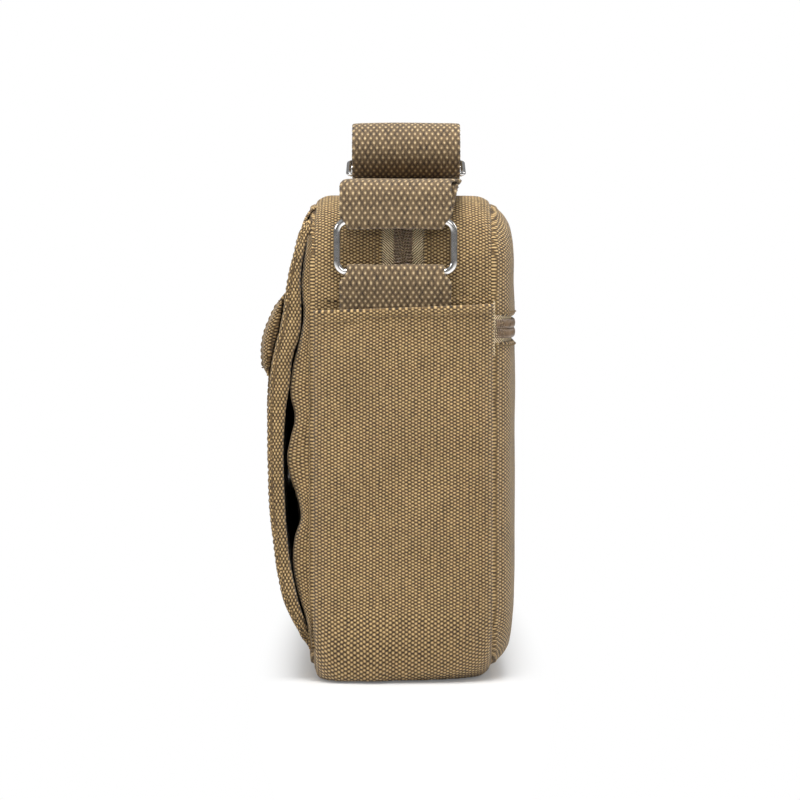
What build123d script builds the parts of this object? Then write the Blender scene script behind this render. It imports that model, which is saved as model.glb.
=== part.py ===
from build123d import *
import os

# Canvas messenger bag standing on its base, strap folded on top. Millimetres.
# +X runs along the bag, -Y is the front with the flap, +Z is up.
# The origin is the middle of the base, on the surface that the bag stands on.

# Body
LENGTH = 290.0  # between the outer faces of the two end gussets
HEIGHT = 225.0
DEPTH = 83.0  # width of the gusset, front seam to back seam
CORNER = 32.0  # corner radius of the front and back panels
CANVAS = 1.6
DOME = 9.9  # how far the back panel stands out behind its seam
DOME_EDGE = 8.0
CLEAR = 0.1  # gap between sewn layers of one body

# Main zip, over the top and down both ends
ZIP_WINDOW = 21.0
ZIP_LOW = 176.0  # height at which the zip dives behind the tabs
TAPE = 0.6
TAPE_HIDDEN = 5.5  # tape under the canvas beside the window
COIL_OUTER = 4.3  # outer edge of one coil from the middle of the chain
COIL_INNER = 0.8
COIL_RISE = 1.1  # coil proud of the tape's middle, both ways
MAIN_SLIDER_X = -100.0

# Back zip, across the domed back panel
BACK_ZIP_Z = 163.0
BACK_WINDOW = 14.0
BACK_SLIDER_X = -120.0

# Slider and pull, the same for both zips
SLIDER_LENGTH = 10.0
SLIDER_WIDTH = 9.0
SLIDER_PLATE = 1.2
SLIDER_POST = 0.9
SLIDER_GAP = 0.35  # between the plates and the coils
PLATE_Z = COIL_RISE + SLIDER_GAP + SLIDER_PLATE / 2
BRIDGE_RADIUS = 1.9
BRIDGE_HOLE = 0.95
BRIDGE_WIDTH = 2.2
BRIDGE_FOOT = 3.6
BRIDGE_Z = PLATE_Z + SLIDER_PLATE / 2 + BRIDGE_HOLE + 0.4
PULL_PIN = 0.6
PULL_LENGTH = 22.0
PULL_WIDTH = 7.0
PULL_THICK = 1.2

# End pockets
POCKET_GAP = 6.0
POCKET_TOP = 172.0
POCKET_FLOOR = 28.0

# Front pocket behind the flap: face of the pocket, (y, z) from mouth to floor
FRONT_POCKET_HALF = 136.0
FRONT_POCKET_FACE = [(-50.4, 168.0), (-52.2, 140.0), (-52.0, 100.0), (-48.6, 55.0), (-44.9, 16.0)]

# Flap: front and back face of the closed flap, (y, z) from hinge to tip
FLAP_FACE = [
    (-47.0, 215.0),
    (-50.8, 194.0),
    (-56.0, 167.0),
    (-60.7, 141.0),
    (-61.8, 107.0),
    (-59.4, 65.0),
    (-54.0, 35.0),
    (-47.0, 15.0),
]
FLAP_BACK = [
    (-45.4, 215.0),
    (-48.2, 194.0),
    (-51.9, 167.0),
    (-55.2, 141.0),
    (-56.2, 107.0),
    (-53.9, 65.0),
    (-49.7, 35.0),
    (-45.4, 15.0),
]
FLAP_HALF = 143.0
FLAP_TIP_RADIUS = 28.0
FLAP_TIP_Z = 14.5
FOAM_GAP = 0.3
FLAP_LINING = 0.8

# Lid of the flap pocket: outer face of the closed lid, (y, z) from hinge to tip
LID_FACE = [(-57.0, 178.7), (-61.7, 168.0), (-65.0, 155.0), (-65.3, 147.0), (-64.8, 138.5)]
LID_HALF = 98.0
LID_THICK = 1.4
PATCH_HALF = 94.0
PATCH_TOP = 168.0
PATCH_BOTTOM = 86.0
PATCH_THICK = 1.5
HOOK_THICK = 0.7  # hook tape under the lid and loop tape on the pocket
HOOK_HALF = 30.0
HOOK_HEIGHTS = (148.0, 156.0)
SNAP_X = 80.0
SNAP_Z = 92.0
SNAP_RADIUS = 8.5

# Strap, tabs and rings
WEBBING = 1.6
STRAP_WIDTH = 50.0
STRAP_Y = -3.5  # the tabs are sewn a little nearer the front
FOLD_Y = 1.5  # the strap folded on top leans a little towards the back
LOOP_WIDTH = 43.0  # webbing pinched between the rounded corners of a ring
RING_WIRE = 3.4
RING_X = 148.8
RING_LOW = 189.0
RING_HIGH = 212.3
RING_HALF = 26.8
RING_CORNER = 5.0
LOOP_RADIUS = RING_WIRE / 2 + 0.35 + WEBBING / 2  # middle of the webbing round a ring bar
LOOP_END = 219.0
STRAP_START = 221.0
LAYER = 2.0  # between the middles of two strap layers

# Strap adjuster, tilted on the second run of the strap
ADJUSTER_X = 52.0
ADJUSTER_Z = 240.2
ADJUSTER_TILT = -15.0
ADJUSTER_BARS = 13.0  # from the middle bar to each end bar
ADJUSTER_HALF = 28.0
ADJUSTER_WIRE = 2.4
ADJUSTER_LOOP = ADJUSTER_WIRE / 2 + 0.3 + WEBBING / 2
LEG_RISE = 35.0  # slope of the webbing that leaves the middle bar, from the adjuster's plane

FAR = 400.0  # larger than the bag, for cutting boxes


def outline(inset, mode=Mode.ADD):
    """Rounded outline of the front and back panels, drawn inset by an amount."""
    with Locations((0, HEIGHT / 2)):
        RectangleRounded(LENGTH - 2 * inset, HEIGHT - 2 * inset, CORNER - inset, mode=mode)


def keep_box(x_low, x_high, y_low, y_high, z_low, z_high):
    """Trim the part being built to a box."""
    with Locations(((x_low + x_high) / 2, (y_low + y_high) / 2, (z_low + z_high) / 2)):
        Box(x_high - x_low, y_high - y_low, z_high - z_low, mode=Mode.INTERSECT)


def keep_heights(z_low, z_high):
    """Trim the part being built to a range of heights."""
    keep_box(-FAR, FAR, -FAR, FAR, z_low, z_high)


def band(outer_inset, inner_inset, y_front, y_back, z_low, z_high):
    """Strip that follows the outline of the panels, between two insets and two heights."""
    with BuildPart() as strip:
        with BuildSketch(Plane.XZ.offset(-y_front)):
            outline(outer_inset)
            outline(inner_inset, mode=Mode.SUBTRACT)
        extrude(amount=y_front - y_back)
        keep_heights(z_low, z_high)
    return strip.part


def tray(inset):
    """Solid with the outline and the rounded rear edge of the domed back panel."""
    with BuildPart() as solid:
        with BuildSketch(Plane.XZ.offset(-DEPTH / 2)):
            outline(inset)
        extrude(amount=inset - DOME)
        fillet(solid.faces().sort_by(Axis.Y)[-1].edges(), DOME_EDGE - inset)
    return solid.part


def dome(outer_inset, inner_inset, z_low, z_high, half_length=LENGTH, y_low=DEPTH / 2):
    """Strip of the domed back panel, between two insets and two heights."""
    with BuildPart() as shell:
        add(tray(outer_inset))
        add(tray(inner_inset), mode=Mode.SUBTRACT)
        keep_box(-half_length, half_length, y_low, FAR, z_low, z_high)
    return shell.part


def behind(face, depth):
    """Curve of (y, z) points moved back by a depth."""
    return [(y + depth, z) for y, z in face]


def sheet(front, back, half_length, z_low=-FAR, z_high=FAR):
    """Curved sheet between a front and a back curve, each given as (y, z) points."""
    with BuildPart() as layer:
        with BuildSketch(Plane.YZ.offset(-half_length)):
            with BuildLine():
                outer = Spline(front)
                inner = Spline(back)
                Line(outer @ 0, inner @ 0)
                Line(outer @ 1, inner @ 1)
            make_face()
        extrude(amount=2 * half_length)
        keep_heights(z_low, z_high)
    return layer.part


def round_tip(piece, half_length, tip_z, radius):
    """Round the two lower corners of a hanging sheet, seen from the front."""
    with BuildPart() as rounded:
        add(piece)
        with BuildSketch(Plane.XZ.offset(FAR / 2)):
            with Locations((0, tip_z + FAR / 2)):
                RectangleRounded(2 * half_length, FAR, radius)
        extrude(amount=-FAR, mode=Mode.INTERSECT)
    return rounded.part


def ribbon(points, radii, width=STRAP_WIDTH, middle_y=STRAP_Y):
    """Webbing whose middle follows (x, z) points, rounded at each inner point."""
    with BuildPart() as webbing:
        with BuildSketch(Plane.XZ.offset(-middle_y)):
            with BuildLine():
                FilletPolyline(*points, radius=radii)
            trace(line_width=WEBBING)
        extrude(amount=width / 2, both=True)
    return webbing.part


def pinched(piece, z_low, z_high):
    """Narrow a piece of webbing between two heights, where a ring's corners hold it in."""
    with BuildPart() as narrow:
        add(piece)
        for side in (-1, 1):
            with Locations((0, STRAP_Y + side * (LOOP_WIDTH + FAR) / 2, (z_low + z_high) / 2)):
                Box(FAR, FAR, z_high - z_low, mode=Mode.SUBTRACT)
    return narrow.part


def wire_ring(plane, half_length, half_width, corner, wire):
    """Closed ring of round wire, a rectangle with rounded corners in a plane."""
    with BuildPart() as ring:
        with BuildLine(plane) as path:
            corners = [
                (half_length, half_width),
                (-half_length, half_width),
                (-half_length, -half_width),
                (half_length, -half_width),
            ]
            FilletPolyline(*corners, radius=corner, close=True)
        with BuildSketch(Plane(origin=path.line @ 0, z_dir=path.line % 0)):
            Circle(wire / 2)
        sweep(path=path.wires()[0])
    return ring.part


def slider():
    """Zip slider on a chain that runs along X, its plates above and below the coils."""
    with BuildPart() as body:
        for side in (-1, 1):
            with BuildSketch(Plane.XY.offset(side * PLATE_Z - SLIDER_PLATE / 2)):
                RectangleRounded(SLIDER_LENGTH, SLIDER_WIDTH, 2.5)
            extrude(amount=SLIDER_PLATE)
        Box(3.0, SLIDER_POST, 2 * PLATE_Z)
        with BuildSketch(Plane.XZ.offset(-BRIDGE_WIDTH / 2)):
            with BuildLine():
                Polyline(
                    (-BRIDGE_RADIUS, BRIDGE_Z),
                    (-BRIDGE_FOOT, PLATE_Z),
                    (BRIDGE_FOOT, PLATE_Z),
                    (BRIDGE_RADIUS, BRIDGE_Z),
                )
                ThreePointArc(
                    (BRIDGE_RADIUS, BRIDGE_Z),
                    (0, BRIDGE_Z + BRIDGE_RADIUS),
                    (-BRIDGE_RADIUS, BRIDGE_Z),
                )
            make_face()
            with Locations((0, BRIDGE_Z)):
                Circle(BRIDGE_HOLE, mode=Mode.SUBTRACT)
        extrude(amount=BRIDGE_WIDTH)
    return body.part


def pull(direction):
    """Zip pull with its pin along Y, its tab flat along X one way or the other."""
    with BuildPart() as tab:
        with BuildSketch(Plane.XY.offset(BRIDGE_Z - PULL_THICK / 2)):
            with Locations((direction * (PULL_LENGTH - 1) / 2, 0)):
                RectangleRounded(PULL_LENGTH + 1, PULL_WIDTH, 2.0)
            with Locations((direction * 0.8, 0)):
                Rectangle(5.6, PULL_WIDTH - 3.4, mode=Mode.SUBTRACT)
            with Locations((direction * (PULL_LENGTH - 5), 0)):
                Circle(1.4, mode=Mode.SUBTRACT)
        extrude(amount=PULL_THICK)
        with Locations((0, 0, BRIDGE_Z)):
            Cylinder(PULL_PIN, PULL_WIDTH - 2, rotation=(90, 0, 0))
    return tab.part


def place(piece, plane):
    """Move a piece from its own frame to a plane of the bag."""
    return plane.from_local_coords(piece)


def save(piece, name):
    """Label a finished piece and write it as one STEP file."""
    piece.label = name
    export_step(piece, f"parts/{name}.step")


os.makedirs("parts", exist_ok=True)

# ---- Canvas body ----
SEAM = DEPTH / 2
TAPE_TOP = CANVAS + CLEAR
TAPE_MIDDLE = TAPE_TOP + TAPE / 2

save(band(0, CANVAS, -SEAM, SEAM, -FAR, ZIP_LOW), "gusset")
save(band(0, CANVAS, -SEAM, -ZIP_WINDOW / 2, ZIP_LOW, FAR), "top_strip_front")
save(band(0, CANVAS, ZIP_WINDOW / 2, SEAM, ZIP_LOW, FAR), "top_strip_back")

with BuildPart() as front_panel:
    with BuildSketch(Plane.XZ.offset(SEAM)):
        outline(0)
    extrude(amount=CANVAS)
save(front_panel.part, "front_panel")

BACK_LOW = BACK_ZIP_Z - BACK_WINDOW / 2
BACK_HIGH = BACK_ZIP_Z + BACK_WINDOW / 2
save(dome(0, CANVAS, -FAR, BACK_LOW), "back_panel_lower")
save(dome(0, CANVAS, BACK_HIGH, FAR), "back_panel_upper")

# ---- Zip tapes and coils ----
TAPE_EDGE = ZIP_WINDOW / 2 + TAPE_HIDDEN
TAPE_START = COIL_OUTER + CLEAR
for name, side in (("front", -1), ("back", 1)):
    tape_y = sorted((side * TAPE_START, side * TAPE_EDGE))
    coil_y = sorted((side * COIL_INNER, side * COIL_OUTER))
    tape = band(TAPE_TOP, TAPE_TOP + TAPE, *tape_y, ZIP_LOW - TAPE_HIDDEN, FAR)
    coil = band(TAPE_MIDDLE - COIL_RISE, TAPE_MIDDLE + COIL_RISE, *coil_y, ZIP_LOW, FAR)
    save(tape, f"main_zip_tape_{name}")
    save(coil, f"main_zip_coil_{name}")

BACK_TAPE_EDGE = BACK_WINDOW / 2 + TAPE_HIDDEN
COIL_HALF_LENGTH = LENGTH / 2 - CANVAS - 1
for name, side in (("lower", -1), ("upper", 1)):
    tape_z = sorted((BACK_ZIP_Z + side * TAPE_START, BACK_ZIP_Z + side * BACK_TAPE_EDGE))
    coil_z = sorted((BACK_ZIP_Z + side * COIL_INNER, BACK_ZIP_Z + side * COIL_OUTER))
    tape = dome(TAPE_TOP, TAPE_TOP + TAPE, *tape_z)
    coil = dome(
        TAPE_MIDDLE - COIL_RISE,
        TAPE_MIDDLE + COIL_RISE,
        *coil_z,
        half_length=COIL_HALF_LENGTH,
        y_low=SEAM + CANVAS,
    )
    save(tape, f"back_zip_tape_{name}")
    save(coil, f"back_zip_coil_{name}")

# ---- Zip sliders and pulls ----
MAIN_ZIP_PLANE = Plane(origin=(MAIN_SLIDER_X, 0, HEIGHT - TAPE_MIDDLE))
BACK_ZIP_PLANE = Plane(
    origin=(BACK_SLIDER_X, SEAM + DOME - TAPE_MIDDLE, BACK_ZIP_Z),
    x_dir=(1, 0, 0),
    z_dir=(0, 1, 0),
)
save(place(slider(), MAIN_ZIP_PLANE), "main_zip_slider")
save(place(pull(-1), MAIN_ZIP_PLANE), "main_zip_pull")
save(place(slider(), BACK_ZIP_PLANE), "back_zip_slider")
save(place(pull(1), BACK_ZIP_PLANE), "back_zip_pull")

# ---- Pockets on the two ends ----
POCKET_INNER_X = LENGTH / 2 + POCKET_GAP
for name, side in (("right", 1), ("left", -1)):
    with BuildPart() as end_pocket:
        with BuildSketch(Plane.XZ.offset(SEAM)):
            with BuildLine():
                Polyline(
                    (side * (LENGTH / 2 + CLEAR), POCKET_TOP),
                    (side * (LENGTH / 2 + CLEAR), POCKET_FLOOR - CANVAS),
                    (side * (POCKET_INNER_X - 2), POCKET_FLOOR - CANVAS),
                    (side * (POCKET_INNER_X + CANVAS), POCKET_FLOOR + 6),
                    (side * (POCKET_INNER_X + CANVAS), POCKET_TOP),
                    close=True,
                )
            make_face()
        extrude(amount=-DEPTH)
        with BuildSketch(Plane.XY.offset(POCKET_TOP)):
            with Locations((side * (LENGTH + POCKET_GAP) / 2, 0)):
                Rectangle(POCKET_GAP, DEPTH - 2 * CANVAS)
        extrude(amount=POCKET_FLOOR + 6 - POCKET_TOP, mode=Mode.SUBTRACT)
    save(end_pocket.part, f"end_pocket_{name}")

# ---- Front pocket behind the flap ----
FRONT_WALL = [(-SEAM - CANVAS - CLEAR, z) for z in (168.0, 16.0)]
with BuildPart() as front_pocket:
    with BuildSketch(Plane.YZ.offset(-FRONT_POCKET_HALF)):
        with BuildLine():
            pocket_face = Spline(FRONT_POCKET_FACE)
            Polyline(pocket_face @ 0, *FRONT_WALL, pocket_face @ 1)
        make_face()
    extrude(amount=2 * FRONT_POCKET_HALF)
    with BuildSketch(Plane.YZ.offset(CANVAS - FRONT_POCKET_HALF)):
        with BuildLine():
            cavity_face = Spline([(y + CANVAS, z) for y, z in FRONT_POCKET_FACE])
            Line(cavity_face @ 0, FRONT_WALL[0])
            Line(FRONT_WALL[0], (FRONT_WALL[1][0], FRONT_WALL[1][1]))
            Line((FRONT_WALL[1][0], FRONT_WALL[1][1]), cavity_face @ 1)
        make_face()
        with Locations((0, FRONT_WALL[1][1])):
            Rectangle(FAR, 2 * CANVAS, mode=Mode.SUBTRACT)
    extrude(amount=2 * (FRONT_POCKET_HALF - CANVAS), mode=Mode.SUBTRACT)
save(front_pocket.part, "front_pocket")

# ---- Inside ----
LINING_INSET = 3.4
LINING_WALL = 0.6
LINING_TOP = 196.0
LINING_SEAM = SEAM - 0.4
with BuildPart() as lining:
    with BuildSketch(Plane.XZ.offset(LINING_SEAM)):
        outline(LINING_INSET)
    extrude(amount=-2 * LINING_SEAM)
    with BuildSketch(Plane.XZ.offset(LINING_SEAM - LINING_WALL)):
        outline(LINING_INSET + LINING_WALL)
    extrude(amount=-2 * (LINING_SEAM - LINING_WALL), mode=Mode.SUBTRACT)
    keep_heights(-FAR, LINING_TOP)
save(lining.part, "lining")

with BuildPart() as inner_pocket:
    with Locations((0, LINING_SEAM - LINING_WALL - CLEAR, 60)):
        Box(200, 6, 90, align=(Align.CENTER, Align.MAX, Align.MIN))
    with Locations((0, LINING_SEAM - LINING_WALL - CLEAR, 60 + LINING_WALL)):
        inner_space = (200 - 2 * LINING_WALL, 6 - LINING_WALL, 90)
        Box(*inner_space, align=(Align.CENTER, Align.MAX, Align.MIN), mode=Mode.SUBTRACT)
save(inner_pocket.part, "inner_pocket")

with BuildPart() as base_board:
    with Locations((0, 0, CANVAS + CLEAR)):
        Box(216, 66, 1.5, align=(Align.CENTER, Align.CENTER, Align.MIN))
save(base_board.part, "base_board")

with BuildPart() as back_pocket_lining:
    with BuildSketch(Plane.YZ.offset(-132)):
        with BuildLine():
            Polyline(
                (SEAM + 0.7, 176),
                (SEAM + 0.7, 40),
                (SEAM + 6.5, 40),
                (SEAM + 6.5, 147),
                (SEAM + 5.9, 147),
                (SEAM + 5.9, 40.6),
                (SEAM + 1.3, 40.6),
                (SEAM + 1.3, 176),
                close=True,
            )
        make_face()
    extrude(amount=264)
save(back_pocket_lining.part, "back_pocket_lining")

# ---- Flap ----
foam_front = behind(FLAP_FACE, CANVAS + FOAM_GAP)[2:-1]
foam_back = behind(FLAP_BACK, -FLAP_LINING - FOAM_GAP)[2:-1]
flap_layers = {
    "main_flap": (FLAP_FACE, behind(FLAP_FACE, CANVAS), FLAP_HALF, -FAR, FAR),
    "flap_padding": (foam_front, foam_back, FLAP_HALF - 3, -FAR, FAR),
    "flap_lining": (behind(FLAP_BACK, -FLAP_LINING), FLAP_BACK, FLAP_HALF - 2, 35, 194),
}
for name, (front, back, half, z_low, z_high) in flap_layers.items():
    layer = sheet(front, back, half, z_low, z_high)
    tip = max(layer.bounding_box().min.Z, FLAP_TIP_Z)
    save(round_tip(layer, half, tip, FLAP_TIP_RADIUS), name)

patch_back = behind(FLAP_FACE, -CLEAR)
patch_front = behind(patch_back, -PATCH_THICK)
save(sheet(patch_front, patch_back, PATCH_HALF, PATCH_BOTTOM, PATCH_TOP), "flap_pocket")
loop_back = behind(patch_front, -CLEAR)
save(sheet(behind(loop_back, -HOOK_THICK), loop_back, HOOK_HALF, *HOOK_HEIGHTS), "pocket_loop_tape")
lid_back = behind(LID_FACE, LID_THICK)
lid_tip = LID_FACE[-1][1]
save(round_tip(sheet(LID_FACE, lid_back, LID_HALF), LID_HALF, lid_tip, 12), "pocket_lid")
hook_front = behind(lid_back, CLEAR)
save(sheet(hook_front, behind(hook_front, HOOK_THICK), HOOK_HALF, *HOOK_HEIGHTS), "lid_hook_tape")

for name, y_low, y_high in (("flap", -55.3, -54.1), ("pocket", -53.7, -52.8)):
    with BuildPart() as snaps:
        with BuildSketch(Plane.XZ.offset(-y_low)):
            with Locations((-SNAP_X, SNAP_Z), (SNAP_X, SNAP_Z)):
                Circle(SNAP_RADIUS)
        extrude(amount=y_low - y_high)
    save(snaps.part, f"{name}_magnet_snaps")

# ---- Tabs, rings and strap ends ----
LOOP_TURN = LOOP_RADIUS - 0.05
for name, side in (("right", 1), ("left", -1)):
    near = side * (RING_X - LOOP_RADIUS)
    far = side * (RING_X + LOOP_RADIUS)
    top = RING_LOW + LOOP_RADIUS
    low = RING_HIGH - LOOP_RADIUS
    tab_path = [
        (near, 150),
        (near, top),
        (far, top),
        (far, RING_LOW - 5),
        (near + side * LAYER, 176),
        (near + side * LAYER, 150),
    ]
    tab = ribbon(tab_path, (LOOP_TURN, LOOP_TURN, 3, 5))
    save(pinched(tab, RING_LOW - 3, FAR), f"strap_tab_{name}")
    loop_path = [(near, LOOP_END), (near, low), (far, low), (far, LOOP_END)]
    loop = ribbon(loop_path, (LOOP_TURN, LOOP_TURN))
    save(pinched(loop, RING_HIGH - 20, RING_HIGH + 2.5), f"strap_end_{name}")
    ring_plane = Plane(
        origin=(side * RING_X, STRAP_Y, (RING_LOW + RING_HIGH) / 2),
        x_dir=(0, 1, 0),
        z_dir=(1, 0, 0),
    )
    ring = wire_ring(ring_plane, RING_HALF, (RING_HIGH - RING_LOW) / 2, RING_CORNER, RING_WIRE)
    save(ring, f"ring_{name}")

# ---- Strap folded on top ----
ADJUSTER_PLANE = Plane(origin=(ADJUSTER_X, FOLD_Y, ADJUSTER_Z)).rotated((0, -ADJUSTER_TILT, 0))


def on_adjuster(along, above):
    """Point (x, z) beside the adjuster's middle bar, measured in the adjuster's own tilt."""
    point = ADJUSTER_PLANE.from_local_coords(Vector(along, 0, above))
    return (point.X, point.Z)


def on_legs(along, across):
    """Point (x, z) on the webbing that leaves the middle bar, up and away from the near fold."""
    turned = Vector(-along, across, 0).rotate(Axis.Z, -LEG_RISE)
    return on_adjuster(turned.X, turned.Y)


OUTER_X = RING_X + LOOP_RADIUS
INNER_X = RING_X - LOOP_RADIUS
main_points = [
    (OUTER_X, STRAP_START),
    (OUTER_X, 231.2),
    (100, 231.2),
    (0, 236.0),
    (-54, 234.5),
    (-54, 239.7),
    (10, 242.4),
    on_adjuster(-ADJUSTER_BARS, 3.3),
    on_adjuster(0, -5.6),
    on_adjuster(ADJUSTER_BARS, 3.3),
    (84, 233.8),
    (107.7, 233.8),
    (107.7, 259.2),
    (0, 259.8),
    (-OUTER_X, 257.0),
    (-OUTER_X, STRAP_START),
]
main_radii = (8, 40, 200, 2.5, 2.5, 60, 4, 5, 5, 20, 12.65, 12.65, 400, 26)
save(ribbon(main_points, main_radii, middle_y=FOLD_Y), "strap_main")

return_points = [
    (INNER_X, STRAP_START),
    (INNER_X, 229.2),
    (100, 229.2),
    (0, 234.0),
    (-56, 232.5),
    (-56, 241.7),
    (8, 244.7),
    on_legs(16.0, -ADJUSTER_LOOP),
    on_legs(-ADJUSTER_LOOP - 0.05, -ADJUSTER_LOOP),
    on_legs(-ADJUSTER_LOOP - 0.05, ADJUSTER_LOOP),
    on_legs(17.0, ADJUSTER_LOOP),
    (20, 249.2),
]
turn = ADJUSTER_LOOP - 0.05
return_radii = (5, 40, 200, 4.5, 4.5, 60, 6, turn, turn, 6)
save(ribbon(return_points, return_radii, middle_y=FOLD_Y), "strap_return")

tail_x = -OUTER_X + LAYER
tail_points = [(tail_x, STRAP_START), (tail_x, 232), (tail_x + 2, 240)]
save(ribbon(tail_points, (20,), middle_y=FOLD_Y), "strap_tail")

frame_loop = wire_ring(ADJUSTER_PLANE, ADJUSTER_BARS, ADJUSTER_HALF, 3.0, ADJUSTER_WIRE)
save(frame_loop, "adjuster_frame")
with BuildPart() as adjuster_bar:
    with Locations((ADJUSTER_X, FOLD_Y, ADJUSTER_Z)):
        bar_length = 2 * ADJUSTER_HALF - ADJUSTER_WIRE - 2 * CLEAR
        Cylinder(ADJUSTER_WIRE / 2, bar_length, rotation=(90, 0, 0))
save(adjuster_bar.part, "adjuster_bar")
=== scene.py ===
"""A canvas messenger bag: a padded flap over a bellows pocket, end pockets, two coil zips
and a folded webbing strap on steel rings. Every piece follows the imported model's frame."""

import math
import random

import bpy
import numpy as np
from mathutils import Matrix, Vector


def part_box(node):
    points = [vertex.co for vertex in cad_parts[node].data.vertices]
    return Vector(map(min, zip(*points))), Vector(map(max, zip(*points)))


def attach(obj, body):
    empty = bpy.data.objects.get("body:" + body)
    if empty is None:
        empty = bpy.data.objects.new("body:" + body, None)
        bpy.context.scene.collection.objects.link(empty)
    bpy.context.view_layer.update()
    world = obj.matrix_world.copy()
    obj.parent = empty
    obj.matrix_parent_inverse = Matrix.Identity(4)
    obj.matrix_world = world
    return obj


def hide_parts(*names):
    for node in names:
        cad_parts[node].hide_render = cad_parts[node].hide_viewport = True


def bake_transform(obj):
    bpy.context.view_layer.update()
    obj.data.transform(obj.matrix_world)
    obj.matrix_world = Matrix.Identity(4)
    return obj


bl_info = {
    "name": "Canvas messenger bag",
    "version": (1, 0, 0),
    "blender": (4, 5, 0),
    "location": "3D View > Sidebar > Bag",
    "description": "Sews the soft pieces of a messenger bag over its packed model",
    "category": "Object",
}

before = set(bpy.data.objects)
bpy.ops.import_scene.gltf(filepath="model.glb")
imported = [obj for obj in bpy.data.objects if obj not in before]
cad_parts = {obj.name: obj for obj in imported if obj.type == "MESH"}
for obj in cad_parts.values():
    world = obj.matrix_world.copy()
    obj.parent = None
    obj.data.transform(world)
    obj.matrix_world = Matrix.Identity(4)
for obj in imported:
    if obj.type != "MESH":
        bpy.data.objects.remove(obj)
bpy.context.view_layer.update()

MM = 0.001


def corners_mm(node):
    """A CAD node's lowest and highest corner in millimetres."""
    low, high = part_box(node)
    return [v / MM for v in low], [v / MM for v in high]


def middle_y(node):
    low, high = corners_mm(node)
    return (low[1] + high[1]) / 2


# half the bag's length, half the gusset's width, and where the gusset meets the two top strips
END, SEAM, SIDE_TOP = corners_mm("gusset")[1]
TOP = corners_mm("top_strip_front")[1][2]
CORNER = 32.0  # radius of the body's four outline corners
CANVAS = 1.6
LINING = 0.6
ZIP_WINDOW = 10.5  # half the gap between the two top strips
BACK_ZIP = 163.0  # height of the zip across the back
STRAP_Y = middle_y("ring_right")
LEAN = middle_y("adjuster_frame") - STRAP_Y  # how far the folded strap leans to the back


def linear(code):
    """An sRGB hex colour as linear values with full alpha."""
    parts = [int(code[k : k + 2], 16) / 255 for k in (1, 3, 5)]
    return tuple(c / 12.92 if c <= 0.04045 else ((c + 0.055) / 1.055) ** 2.4 for c in parts) + (1.0,)


def colour(name, text, code):
    return bpy.props.FloatVectorProperty(
        name=name, description=text, size=4, min=0, max=1, subtype="COLOR", default=linear(code)
    )


def length(name, text, millimetres):
    return bpy.props.FloatProperty(
        name=name, description=text, default=millimetres * MM, min=0, unit="LENGTH", subtype="DISTANCE"
    )


class BagCloth(bpy.types.PropertyGroup):
    """Thread spacings and colours of the woven parts."""

    warp: length("Warp spacing", "Distance between the canvas's lengthwise threads", 1.48)
    weft: length("Weft spacing", "Distance between the canvas's crosswise threads", 0.80)
    slack: length("Slack", "How far loose canvas ripples from its smooth shape", 0.7)
    # the hollow colour carries painted shade between the threads, the crown colour painted highlight on their
    # tops
    dark: colour("Canvas hollows", "Canvas colour between the threads", "#2a1c0b")
    body: colour("Canvas", "Canvas colour on the threads' sides", "#6e5632")
    light: colour("Canvas crowns", "Canvas colour on top of the threads", "#bfa270")
    rib: length("Webbing rib", "Distance between the webbing's ribs", 1.38)
    row: length("Webbing row", "Distance between the webbing's crosswise rows", 2.2)


class BagTrim(bpy.types.PropertyGroup):
    """Zip, thread and metal sizes and colours."""

    pitch: length("Coil pitch", "Distance between the zip coil's turns", 1.5)
    coil: colour("Coil", "Colour of the nylon zip coil", "#75604a")
    stitch: length("Stitch", "Length of one stitch with its gap", 3.2)
    thread: colour("Thread", "Colour of the sewing thread", "#6e5a3c")
    steel: colour("Steel", "Colour of the plated steel rings", "#d2d0ce")
    brass: colour("Slider metal", "Colour of the zip sliders and pulls", "#8f7a55")


# ---------------------------------------------------------------- shapes in millimetres


def outline(distance, inset=0.0):
    """Points of the body's rounded outline, a distance along it from the middle of the base
    towards +X. Returns x, z and the outward direction."""
    x, z, nx, nz = [np.zeros_like(distance) for _ in range(4)]
    flat, side, arc = END - CORNER, TOP - 2 * CORNER, math.pi / 2 * CORNER
    stretches = [
        (flat, "line", (0, 0), (1, 0), (0, -1)),
        (arc, "arc", (END - CORNER, CORNER), -90, None),
        (side, "line", (END, CORNER), (0, 1), (1, 0)),
        (arc, "arc", (END - CORNER, TOP - CORNER), 0, None),
        (2 * flat, "line", (flat, TOP), (-1, 0), (0, 1)),
        (arc, "arc", (CORNER - END, TOP - CORNER), 90, None),
        (side, "line", (-END, TOP - CORNER), (0, -1), (-1, 0)),
        (arc, "arc", (CORNER - END, CORNER), 180, None),
        (flat, "line", (CORNER - END, 0), (1, 0), (0, -1)),
    ]
    total = sum(part[0] for part in stretches)
    along = np.mod(distance, total)
    start = 0.0
    for size, kind, origin, turn, out in stretches:
        here = (along >= start) & (along <= start + size)
        d = along[here] - start
        if kind == "line":
            x[here] = origin[0] + turn[0] * d - out[0] * inset
            z[here] = origin[1] + turn[1] * d - out[1] * inset
            nx[here], nz[here] = out
        else:
            angle = math.radians(turn) + d / CORNER
            nx[here], nz[here] = np.cos(angle), np.sin(angle)
            x[here] = origin[0] + nx[here] * (CORNER - inset)
            z[here] = origin[1] + nz[here] * (CORNER - inset)
        start += size
    return x, z, nx, nz


OUTLINE = 2 * (2 * (END - CORNER) + (TOP - 2 * CORNER) + math.pi * CORNER)
TO_SIDE_TOP = (END - CORNER) + math.pi / 2 * CORNER + (SIDE_TOP - CORNER)


def within(px, pz, radius):
    """Distance in from a rounded edge, for points px and pz past the corner's centre."""
    beyond = np.hypot(np.maximum(px, 0), np.maximum(pz, 0)) + np.minimum(np.maximum(px, pz), 0)
    return radius - beyond


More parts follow.
